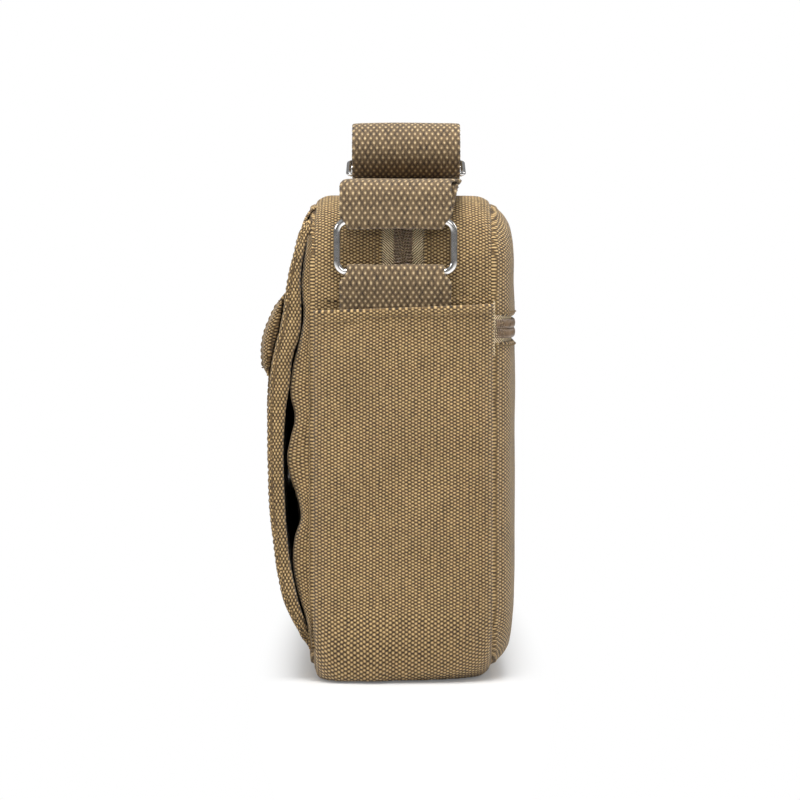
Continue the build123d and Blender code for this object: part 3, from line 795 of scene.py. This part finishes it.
class BAG_OT_flap(bpy.types.Operator):
    """Sew the padded flap with its side band, its lining and its hinge strip"""

    bl_idname = "bag.flap"
    bl_label = "Flap"

    def execute(self, context):
        x, z = stretched(FLAP_TIP, FLAP_TOP, 110, 0.8, 130, 0.75, flap_end)
        flap = Cloth().shell(grid(x, -flap_face(x, z), z), grid(x, z))
        s, ex, ez, nx, nz = flap_rim()
        front = flap_face(ex, ez) - 0.3
        back = through(FLAP_LIP, ez)
        t = np.linspace(0, 1, 9)[None, :]
        wave = 0.35 * ripples(s, 0 * s, 67, 24.0)[:, None]
        out = (1.1 + wave) * np.sin(math.pi * t) - 0.8 - 1.2 * smooth(t, 0.75, 1)
        deep = front[:, None] + (back - front)[:, None] * t
        band = grid(ex[:, None] + nx[:, None] * out, -deep, ez[:, None] + nz[:, None] * out)
        flap.shell(band, grid(s[:, None], deep), 1.2)
        roll = 0.12 * ripples(s, 0 * s, 71, 11.0)
        piping = [ex + nx * (0.3 * roll - 0.3), -(front - 0.1 + roll), ez + nz * (roll - 0.3)]
        flap.tube(np.stack(piping, axis=1), 1.0, 8, (0, 1, 0))
        piece = flap.piece("Main_flap", "canvas", "main_flap")
        x, z = stretched(FLAP_TIP + 1, FLAP_TOP - 1, 80, 0.6, 90, 0.7, lambda z: 1.6 - flap_end(z))
        sag = 0.35 * ripples(x, z, 73, 45.0) * smooth(flap_inside(x, z), 2, 20)
        y = -np.minimum(through(FLAP_BACK, z) + 0.35 + sag, flap_face(x, z) - 2.6)
        Cloth().shell(grid(x, y, z), grid(x, z), 0.7).piece("Flap_lining", "lining_cloth", "main_flap")
        # the canvas that carries the flap runs over the top front seam
        t = np.linspace(0, 1, 22)[:, None]
        run = [(0, 47.2), (0.25, 46.3), (0.6, 44.6), (0.85, 42.6), (1, 40.6)]
        rise = [(0, 208.5), (0.25, 212.0), (0.6, 216.0), (0.85, 218.6), (1, 219.8)]
        y, z = -through(run, t), through(rise, t)
        x = spread(-1, 1, 120, 0.6)[None, :] * (row_end(z) - 2.6 - 2.0 * t)
        hinge = Cloth().shell(grid(x, y, z), grid(x, 14 * t), 1.2).piece("Flap_hinge_strip", "canvas", None)
        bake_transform(hinge)
        return {"FINISHED"}


PATCH_HALF, PATCH_LOW, PATCH_HIGH = 94.0, 86.0, 168.0
LID_HALF, LID_LOW, LID_HIGH, LID_CORNER = 98.0, 138.5, 178.7, 12.0
# Lid's outer face: height, and depth before the bag's middle.
LID_FACE = [(138.5, 65.2), (142, 66.6), (148, 67.4), (155, 67.3), (161, 66.0), (168, 63.2), (174, 60.2)]
LID_FACE += [(178.7, 56.4)]


class BAG_OT_flap_pocket(bpy.types.Operator):
    """Sew the patch pocket on the flap and its puffed lid"""

    bl_idname = "bag.flap_pocket"
    bl_label = "Flap pocket and lid"

    def execute(self, context):
        z = spread(PATCH_LOW, PATCH_HIGH, 60, 0.6)[:, None]
        x = spread(-PATCH_HALF, PATCH_HALF, 100, 0.7)[None, :]
        edge = np.minimum(PATCH_HALF - np.abs(x), z - PATCH_LOW)
        rise = patch_rise(edge) - 0.35 * smooth(edge, 3.2, 5.0) * (1 - smooth(edge, 6, 12))
        rise = rise + 0.35 * ripples(x, z, 83, 40.0) * smooth(edge, 4, 22)
        y = -(through(FLAP_FACE, z) + flap_padding(z) + flap_waves(x, z) + rise)
        Cloth().shell(grid(x, y, z), grid(x, z), 1.3, edge=0.6).piece("Flap_pocket", "canvas", "main_flap")
        x, z = stretched(
            LID_LOW, LID_HIGH, 44, 0.7, 100, 0.7, lambda z: round_end(z, LID_LOW, LID_HALF, LID_CORNER)
        )
        edge = within(np.abs(x) - (LID_HALF - LID_CORNER), LID_LOW + LID_CORNER - z, LID_CORNER)
        curl = 0.9 * (1 - smooth(edge, 0, 5)) - 0.3 * smooth(edge, 4.5, 6) * (1 - smooth(edge, 7, 12))
        deep = through(LID_FACE, z) - curl + lid_waves(x, z, edge)
        # each end turns back in a short wall that meets the flap
        back = np.minimum(through(FLAP_FACE, z) + 2.9, deep - 0.6)
        t = np.linspace(1, 0, 7)[None, :-1]
        puff = 1.1 * np.sin(math.pi * t)
        walls_x = [x[:, [side]] + np.sign(x[:, [side]]) * (puff + 0.3) for side in (0, -1)]
        walls_deep = [deep[:, [side]] + (back - deep)[:, [side]] * t for side in (0, -1)]
        x_all = np.concatenate([walls_x[0], x, walls_x[1][:, ::-1]], axis=1)
        deep_all = np.concatenate([walls_deep[0], deep, walls_deep[1][:, ::-1]], axis=1)
        z_all = np.broadcast_to(z[:, :1], x_all.shape)
        turned = np.maximum(deep[:, :1] - deep_all, 0) * (np.abs(x_all) > np.abs(x[:, :1]) + 0.01)
        uv = grid(x_all + np.sign(x_all) * turned, z_all)
        lid = Cloth().shell(grid(x_all, -deep_all, z_all), uv, 1.2, edge=0.6)
        lid.piece("Pocket_lid", "canvas", "pocket_lid")
        return {"FINISHED"}


# ---------------------------------------------------------------- zips

THREAD = 0.34  # radius of the sewing thread
COIL_WIRE = 0.36  # radius of the nylon the coils are wound from
COIL_HALF, COIL_RISE = 1.95, 0.75  # half a turn's width and height
COIL_AWAY = 2.2  # from the zip's middle to each coil's middle


def run_along(path):
    """Distance along a path at each of its points."""
    return np.concatenate([[0], np.cumsum(np.linalg.norm(np.diff(path, axis=0), axis=1))])


def stitches(cloth, path, out, pitch):
    """A row of thread stitches lying on the cloth along the points."""
    out = np.broadcast_to(np.asarray(out, float), path.shape)
    run = run_along(path)
    count = int(run[-1] / pitch)
    rng = random.Random(count)

    def at(values, where):
        return np.array([np.interp(where, run, values[:, k]) for k in range(3)])

    for k in range(count):
        start = (k + 0.12) * pitch + rng.uniform(-0.05, 0.05) * pitch
        stop = start + pitch * 0.72
        places = [(start, -0.25), (start + 0.12 * pitch, 0.18), ((start + stop) / 2, 0.34)]
        places += [(stop - 0.12 * pitch, 0.18), (stop, -0.25)]
        points = [at(path, where) + at(out, where) * rise for where, rise in places]
        cloth.tube(points, THREAD, 6, at(out, start))


def coil(path, wide, out, phase):
    """A nylon coil of one side of a zip, wound along the points."""
    run = run_along(path)
    pitch = bpy.context.scene.bag_trim.pitch / MM
    turns = int(run[-1] / pitch)
    s = np.linspace(0, turns * pitch, turns * 12 + 1)

    def at(values):
        return np.stack([np.interp(s, run, values[:, k]) for k in range(3)], axis=1)

    angle = (math.tau * s / pitch)[:, None] + phase
    centre = at(path) + at(wide) * COIL_HALF * np.cos(angle) + at(out) * COIL_RISE * np.sin(angle)
    return Cloth().tube(centre, COIL_WIRE, 6, np.gradient(at(path), axis=0))


class BAG_OT_zips(bpy.types.Operator):
    """Make the twill tapes and nylon coils of both zips"""

    bl_idname = "bag.zips"
    bl_label = "Zips"

    def execute(self, context):
        s = np.linspace(TO_SIDE_TOP - 4, OUTLINE - TO_SIDE_TOP + 4, 180)
        x, z, nx, nz = outline(s, 2.0)
        for sign, name, phase in ((-1, "front", 0.0), (1, "back", math.pi)):
            y = np.sort(sign * np.linspace(0.08, 15.8, 15))[None, :]
            wave = 0.12 * ripples(s[:, None], y, 97, 18.0)
            points = grid(x[:, None] - nx[:, None] * wave, y, z[:, None] - nz[:, None] * wave)
            tape = Cloth().shell(points, grid(y * -sign, s[:, None]), 0.55)
            tape.piece(f"Main_zip_tape_{name}", "zip_tape")
            path = np.stack([x + 0.7 * nx, 0 * x + sign * COIL_AWAY, z + 0.7 * nz], axis=1)[3:-3]
            wide = np.tile([0.0, float(sign), 0.0], (len(path), 1))
            out = np.stack([nx, 0 * nx, nz], axis=1)[3:-3]
            coil(path, wide, out, phase).piece(f"Main_zip_coil_{name}", "zip_coil")
        reach = spread(-143.6, 143.6, 200, 0.75)
        for sign, name, phase, low, high in (
            (-1, "lower", 0.0, 150.5, 162.9),
            (1, "upper", math.pi, 163.1, 175.5),
        ):
            x, z = -reach[None, :], np.linspace(low, high, 8)[:, None]
            y = SEAM + through(DOME, np.maximum(inside(x, z), 0)) - 2.0
            tape = Cloth().shell(grid(x, y, z), grid((z - BACK_ZIP) * sign, x), 0.5)
            tape.piece(f"Back_zip_tape_{name}", "zip_tape")
            y = SEAM + through(DOME, END - np.abs(reach)) - 1.3
            path = np.stack([reach, y, 0 * reach + (BACK_ZIP + sign * COIL_AWAY)], axis=1)
            slope = np.gradient(y, reach)
            out = np.stack([-slope, 0 * slope + 1, 0 * slope], axis=1)
            out /= np.linalg.norm(out, axis=1, keepdims=True)
            wide = np.tile([0.0, 0.0, 1.0], (len(reach), 1))
            coil(path, wide, out, phase).piece(f"Back_zip_coil_{name}", "zip_coil")
        return {"FINISHED"}


# ---------------------------------------------------------------- strap


def bent(points, radii):
    """Points 0.85 mm apart along straight runs joined by bends of the given radii."""
    points = [np.array(p, float) for p in points]
    path = [points[0]]
    for k, radius in enumerate(radii, start=1):
        before, corner, after = points[k - 1], points[k], points[k + 1]
        one = (before - corner) / np.linalg.norm(before - corner)
        two = (after - corner) / np.linalg.norm(after - corner)
        opening = math.acos(np.clip(one @ two, -1, 1))
        if math.pi - opening < 0.002:
            path.append(corner)
            continue
        trim = radius / math.tan(opening / 2)
        middle = (one + two) / np.linalg.norm(one + two)
        centre = corner + middle * radius / math.sin(opening / 2)
        first, last = corner + one * trim - centre, corner + two * trim - centre
        count = max(4, int(radius * (math.pi - opening) / 0.5))
        for t in np.linspace(0, 1, min(count, 40)):
            turned = first * (1 - t) + last * t
            path.append(centre + turned / np.linalg.norm(turned) * radius)
    path.append(points[-1])
    path = np.array(path)
    size = np.linalg.norm(np.diff(path, axis=0), axis=1)
    path = path[np.concatenate([[True], size > 1e-6])]
    run = run_along(path)
    s = np.linspace(0, run[-1], int(run[-1] / 0.85) + 1)
    return s, np.interp(s, run, path[:, 0]), np.interp(s, run, path[:, 1])


WEBBING = 1.6
STRAP = 50.0
PINCHED = 43.5  # the strap's width where a ring squeezes it
BACK_SHIFT = 3.4  # how far the lower layer slips to the back where it leaves the ring


def webbing(points, radii, width, seed, shift=None):
    """Woven strap along a path of x and z, bumpy along its two selvedges, and its length."""
    s, x, z = bent(points, radii)
    dx, dz = np.gradient(x, s), np.gradient(z, s)
    size = np.hypot(dx, dz)
    dx, dz = dx / size, dz / size
    wide = np.broadcast_to(width(z) if callable(width) else width, s.shape)
    rng = random.Random(seed)
    rough = np.array([rng.uniform(-1, 1) for _ in s])
    row = bpy.context.scene.bag_cloth.row / MM
    knot = 0.22 * np.sin(math.tau * s / row) + 0.16 * rough
    across = spread(-0.5, 0.5, 17, 0.55)
    edge = smooth(np.abs(across), 0.44, 0.5)
    y = across[None, :] * (wide[:, None] + edge[None, :] * knot[:, None])
    cup = 0.18 * np.cos(y / wide[:, None] * math.tau) + 0.14 * ripples(s[:, None], y, seed, 26.0)
    thin = WEBBING * (1 - 0.3 * edge)[None, :] + 0 * y
    lift = thin / 2 + cup * 0.6
    moved = STRAP_Y + y + (0 if shift is None else shift(s / s[-1])[:, None])
    normal = np.stack([dz, 0 * dz, -dx], axis=-1)[:, None, :] + 0 * y[..., None]
    points = grid(x[:, None], moved, z[:, None]) + normal * lift[..., None]
    return Cloth().shell(points, grid(y, s[:, None]), thin, edge=0.5, out=normal), s[-1]


ADJUSTER = (52.0, 240.2)  # x and z of the adjuster's middle
ADJUSTER_TILT = 15.0
LEG_TILT = -35.0


def on_adjuster(along, above):
    """x and z of a place given along and above the tilted adjuster."""
    turn = math.radians(ADJUSTER_TILT)
    x = ADJUSTER[0] + along * math.cos(turn) + above * math.sin(turn)
    return (x, ADJUSTER[1] - along * math.sin(turn) + above * math.cos(turn))


def on_legs(along, across):
    """x and z of a place along and across the adjuster's slanting legs."""
    turn = math.radians(LEG_TILT)
    one, two = -along, across
    return on_adjuster(
        one * math.cos(turn) - two * math.sin(turn), one * math.sin(turn) + two * math.cos(turn)
    )


# x of the webbing's middle line before and behind a ring, and its height round each of the ring's bars
FORE, AFT, LOW_BAR, HIGH_BAR = 151.65, 145.95, 191.85, 209.45
STRAP_MAIN = [(136, 231.2), (100, 231.2), (0, 236), (-54, 234.5), (-54, 239.7), (10, 242.4)]
STRAP_MAIN += [on_adjuster(-13, 3.3), on_adjuster(0, -5.6), on_adjuster(13, 3.3), (84, 233.8)]
STRAP_MAIN += [(107.7, 233.8), (107.7, 259.2), (0, 259.8), (-FORE, 257), (-FORE, 236)]
MAIN_BENDS = (40, 200, 2.5, 2.5, 60, 4, 5, 5, 20, 12.65, 12.65, 400, 26)
STRAP_RETURN = [(133, 229.2), (100, 229.2), (0, 234), (-56, 232.5), (-56, 241.7), (8, 244.7)]
STRAP_RETURN += [on_legs(16, -2.3), on_legs(-2.35, -2.3), on_legs(-2.35, 2.3), on_legs(17, 2.3), (20, 249.2)]
RETURN_BENDS = (40, 200, 4.5, 4.5, 60, 6, 2.25, 2.25, 6)
TAB = [(AFT, 150), (AFT, LOW_BAR), (FORE, LOW_BAR), (FORE, 184), (148.1, 176), (148.1, 150)]
END_RIGHT = [(137, 231.2), (FORE, 231.2), (FORE, HIGH_BAR), (AFT, HIGH_BAR), (AFT, 229.2), (133.6, 229.2)]
END_LEFT = [(-FORE, 236), (-FORE, HIGH_BAR), (-AFT, HIGH_BAR), (-AFT, 214), (-149.55, 220.5)]
TAIL = [(-149.65, 221), (-149.65, 232), (-147.65, 240)]


def pinch(low, high):
    """Webbing width that narrows inside a ring, between two heights."""

    def width(z):
        return STRAP - (STRAP - PINCHED) * smooth(z, low - 4, low + 1) * (1 - smooth(z, high - 1, high + 4))

    return width


# How far each length of webbing is moved to the back, from its start (0) to its end (1).


def leaning(t):
    return LEAN + 0 * t


def right_end_shift(t):
    return LEAN * (1 - smooth(t, 0.02, 0.2)) + BACK_SHIFT * smooth(t, 0.55, 0.9)


def left_end_shift(t):
    return LEAN * (1 - smooth(t, 0.1, 0.5)) + LEAN * smooth(t, 0.7, 1)


def return_shift(t):
    return LEAN - (LEAN - BACK_SHIFT) * (1 - smooth(t, 0.0, 0.2))


class BAG_OT_strap(bpy.types.Operator):
    """Lay the folded webbing strap, its ring loops and the two tabs"""

    bl_idname = "bag.strap"
    bl_label = "Strap"

    def execute(self, context):
        for side, name in ((1, "right"), (-1, "left")):
            tab = [(side * x, z) for x, z in TAB]
            tab_cloth = webbing(tab, (2.8, 2.8, 3, 5), pinch(188, 220), 101 + side)[0]
            tab_cloth.piece(f"Strap_tab_{name}", "webbing")
        for side, name, loop, radii, seed, shift in (
            (1, "right", END_RIGHT, (8, 2.85, 2.85, 5), 107, right_end_shift),
            (-1, "left", END_LEFT, (2.85, 2.85, 4), 109, left_end_shift),
        ):
            end = webbing(loop, radii, pinch(180, 211), seed, shift)[0]
            piece = end.piece(f"Strap_end_{name}", "webbing", None)
            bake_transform(piece)
        webbing(TAIL, (20,), STRAP, 113, leaning)[0].piece("Strap_tail", "webbing")
        for name, path, bends, seed, shift in (
            ("Strap_main", STRAP_MAIN, MAIN_BENDS, 127, leaning),
            ("Strap_return", STRAP_RETURN, RETURN_BENDS, 131, return_shift),
        ):
            strap, size = webbing(path, bends, STRAP, seed, shift)
            piece = strap.piece(name, "webbing")
        return {"FINISHED"}


# ---------------------------------------------------------------- linings, metal, thread


class BAG_OT_linings(bpy.types.Operator):
    """Hang the linings and the flat inner pockets"""

    bl_idname = "bag.linings"
    bl_label = "Linings"

    def execute(self, context):
        reach = TO_SIDE_TOP + 14
        points, uv = wall_grid(-reach, reach, 200, -SEAM + 0.6, SEAM - 0.6, 30, 137, inset=3.6)
        lining = Cloth().shell(points, uv, LINING)
        for face in (-1, 1):
            x, z = stretched(8.5, 190, 60, 0.6, 80, 0.6, lambda z: -face * (row_end(z) - 6.5))
            y = face * (SEAM - 1.0 - 0.5 * ripples(x, z, 139 + face, 50.0) ** 2)
            lining.shell(grid(x, y, z), grid(x, z), LINING)
        lining.piece("Lining", "lining_cloth")
        for name, half, low, high, columns, start, swell, roll, wave, seed in (
            ("Inner_pocket", 100, 60, 150, 70, 39.6, -4.2, 14, -0.5, 149),
            ("Back_pocket_lining", -132, 40, 147, 80, 42.6, 4.4, 16, 0.3, 151),
        ):
            z = spread(low, high, 40, 0.5)[:, None]
            x = spread(-half, half, columns, 0.6)[None, :]
            edge = np.minimum(abs(half) - np.abs(x), z - low)
            waves = wave * ripples(x, z, seed, 40.0) * smooth(edge, 2, 15)
            y = start + swell * smooth(edge, 0, roll) + waves
            Cloth().shell(grid(x, y, z), grid(x, z), LINING).piece(name, "lining_cloth")
        return {"FINISHED"}


HARDWARE = {
    "ring_steel": ("ring_right", "ring_left", "adjuster_frame", "adjuster_bar"),
    "zip_brass": ("main_zip_slider", "main_zip_pull", "back_zip_slider", "back_zip_pull"),
    "snap_steel": ("flap_magnet_snaps", "pocket_magnet_snaps"),
    "hook_tape": ("lid_hook_tape", "pocket_loop_tape"),
    "foam": ("flap_padding",),
    "board": ("base_board",),
}


class BAG_OT_hardware(bpy.types.Operator):
    """Finish the rings, the adjuster, the sliders, the snaps and the hidden stiffeners"""

    bl_idname = "bag.hardware"
    bl_label = "Hardware"

    def execute(self, context):
        made = materials()
        for finish, nodes in HARDWARE.items():
            for node in nodes:
                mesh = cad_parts[node].data
                mesh.materials.clear()
                mesh.materials.append(made[finish])
        return {"FINISHED"}


FORWARD = (0, -1, 0)


def three_sides(half, base, side_base, top, count):
    """x and z down one side of a pocket, along its base and up its other side."""
    x = np.concatenate([np.full(count, -half), np.linspace(-half, half, 90), np.full(count, half)])
    down, up = np.linspace(top, side_base, count), np.linspace(side_base, top, count)
    return x, np.concatenate([down, np.full(90, base), up])


class BAG_OT_thread(bpy.types.Operator):
    """Sew the visible rows of stitches"""

    bl_idname = "bag.thread"
    bl_label = "Stitches"

    def execute(self, context):
        pitch = context.scene.bag_trim.stitch / MM
        body = Cloth()
        for side in END_POCKETS:
            points = end_pocket_grid(side)[0]
            rows, columns = points.shape[:2]
            # the hem is sewn 3.1 mm under the mouth
            under = 3.1 / np.linalg.norm(points[-1] - points[-8], axis=1) * 7
            hem = np.clip((rows - 1 - under).astype(int), 0, rows - 1), np.arange(columns)
            stitches(body, points[hem][1:-1], facing(points)[hem][1:-1], pitch * 0.8)
        for name, column in (("front", -4), ("back", 3)):
            points = wall_grid(*TOP_STRIPS[name])[0]
            stitches(body, points[:, column], facing(points)[:, column], pitch)
        for name, row in (("lower", -4), ("upper", 3)):
            points = panel_grid(*BACK_PANELS[name])[0]
            stitches(body, points[row], facing(points)[row], pitch)
        body.piece("Body_stitches", "canvas", finish="thread")
        flap = Cloth()
        _, x, z, nx, nz = flap_rim()
        x, z = x - nx * 5.0, z - nz * 5.0
        stitches(flap, np.stack([x, -flap_face(x, z), z], axis=1), FORWARD, pitch)
        for inset in (2.2, 7.5):
            base = PATCH_LOW + inset
            x, z = three_sides(PATCH_HALF - inset, base, base, PATCH_HIGH, 40)
            y = -(through(FLAP_FACE, z) + flap_padding(z) + flap_waves(x, z) + patch_rise(inset))
            stitches(flap, np.stack([x, y, z], axis=1), FORWARD, pitch)
        flap.piece("Flap_stitches", "canvas", "main_flap", "thread")
        lid = Cloth()
        x, z = three_sides(93.0, 143.5, 144, 176, 20)
        y = -(through(LID_FACE, z) + lid_waves(x, z, 5.0) + 0.05)
        stitches(lid, np.stack([x, y, z], axis=1), FORWARD, pitch)
        x = np.linspace(-96, 96, 90)
        z = np.full_like(x, 175.5)
        stitches(lid, np.stack([x, 0.2 - through(LID_FACE, z), z], axis=1), FORWARD, pitch)
        lid.piece("Lid_stitches", "canvas", "pocket_lid", "thread")
        return {"FINISHED"}


# ---------------------------------------------------------------- stage


class BAG_OT_stage(bpy.types.Operator):
    """Set the pale floor, the soft lights and the camera"""

    bl_idname = "bag.stage"
    bl_label = "Stage"

    def execute(self, context):
        scene = context.scene
        scene.view_settings.view_transform = "Standard"
        scene.view_settings.look = "None"
        # White satin paint: plain and pale, with a faint sheen under the base.
        made, tree, shader = fresh(
            "floor", Base_Color=(0.95, 0.95, 0.95, 1), Roughness=0.16, Specular_IOR_Level=0.35
        )
        # the sweep behind and around the bag is lit to plain white, fading in past its shadow
        where = add(tree, "TexCoord", {}, "Object")
        near = add(tree, "VectorMath", {0: where, 1: (2.6, 21.0, 0.0)}, operation="MULTIPLY")
        away = add(tree, "VectorMath", {0: near}, "Value", operation="LENGTH")
        lift = {0: away, 1: 0.85, 2: 1.5, 3: 0.15, 4: 1.0}
        fade = add(tree, "MapRange", lift, interpolation_type="SMOOTHSTEP")
        seen = add(tree, "LightPath", {}, "Is Camera Ray")
        fade = add(tree, "Math", {0: fade, 1: seen}, operation="MULTIPLY")
        glow = add(tree, "Emission", {0: (1, 1, 1, 1), 1: 1.0})
        both = add(tree, "MixShader", {0: fade, 1: shader.outputs[0], 2: glow})
        tree.links.new(both, tree.nodes["Material Output"].inputs["Surface"])
        mesh = bpy.data.meshes.new("Floor")
        far = 9.0
        mesh.from_pydata([(-far, -far, 0), (far, -far, 0), (far, far, 0), (-far, far, 0)], [], [(0, 1, 2, 3)])
        mesh.materials.append(made)
        floor = bpy.data.objects.new("Floor", mesh)
        scene.collection.objects.link(floor)
        floor.location.z = -0.0006
        world = bpy.data.worlds.new("Pale room")
        scene.world = world
        world.use_nodes = True
        room = world.node_tree
        back = room.nodes["Background"]
        back.inputs[0].default_value = (1, 1, 1, 1)
        # the room is seen as plain white, and gives the bag only a gentle fill
        seen = add(room, "LightPath", {}, "Is Camera Ray")
        way = add(room, "TexCoord", {}, "Generated")
        up = add(room, "SeparateXYZ", {0: way}, 2)
        fill = add(room, "MapRange", {0: up, 1: -0.3, 2: 0.9, 3: 0.05, 4: 0.42})
        strength = add(room, "MapRange", {0: seen, 3: fill, 4: 1.0})
        room.links.new(strength, back.inputs[1])
        for name, place, size, power in (
            ("Overhead softbox", (0.45, 0.0, 1.2), 0.6, 21.0),
            ("End fill", (1.7, 0.5, 1.0), 0.6, 5.0),
            ("Flap fill", (0.6, -1.6, 1.0), 0.6, 9.0),
            ("Back fill", (-0.5, 1.6, 1.1), 0.8, 6.0),
        ):
            light = bpy.data.lights.new(name, "AREA")
            light.size, light.energy = size, power
            lamp = bpy.data.objects.new(name, light)
            scene.collection.objects.link(lamp)
            lamp.location = place
            lamp.rotation_euler = (Vector((0, 0, 0.12)) - Vector(place)).to_track_quat("-Z", "Y").to_euler()
        lens = bpy.data.cameras.new("Camera")
        lens.lens, lens.sensor_width = 127.4, 36.0
        camera = bpy.data.objects.new("Camera", lens)
        scene.collection.objects.link(camera)
        tilt, away = math.radians(2.5), 1.30
        aim = Vector((0.148, -0.0014, 0.1304))
        camera.location = aim + Vector((math.cos(tilt), 0, math.sin(tilt))) * away
        camera.rotation_euler = (aim - camera.location).to_track_quat("-Z", "Y").to_euler()
        scene.camera = camera
        return {"FINISHED"}


STEPS = (
    BAG_OT_stage,
    BAG_OT_body,
    BAG_OT_end_pockets,
    BAG_OT_front_pocket,
    BAG_OT_flap,
    BAG_OT_flap_pocket,
    BAG_OT_zips,
    BAG_OT_strap,
    BAG_OT_linings,
    BAG_OT_hardware,
    BAG_OT_thread,
)


class BAG_PT_sewing(bpy.types.Panel):
    """Buttons for each group of the bag's pieces"""

    bl_idname = "BAG_PT_sewing"
    bl_label = "Messenger bag"
    bl_space_type = "VIEW_3D"
    bl_region_type = "UI"
    bl_category = "Bag"

    def draw(self, context):
        for group in (context.scene.bag_cloth, context.scene.bag_trim):
            for name in group.__annotations__:
                self.layout.prop(group, name)
        for step in STEPS:
            self.layout.operator(step.bl_idname)


def register():
    for kind in (BagCloth, BagTrim, *STEPS, BAG_PT_sewing):
        bpy.utils.register_class(kind)
    bpy.types.Scene.bag_cloth = bpy.props.PointerProperty(type=BagCloth)
    bpy.types.Scene.bag_trim = bpy.props.PointerProperty(type=BagTrim)


def unregister():
    del bpy.types.Scene.bag_trim
    del bpy.types.Scene.bag_cloth
    for kind in reversed((BagCloth, BagTrim, *STEPS, BAG_PT_sewing)):
        bpy.utils.unregister_class(kind)


def main():
    register()
    for step in STEPS:
        group, name = step.bl_idname.split(".")
        getattr(getattr(bpy.ops, group), name)()


if __name__ == "__main__":
    main()
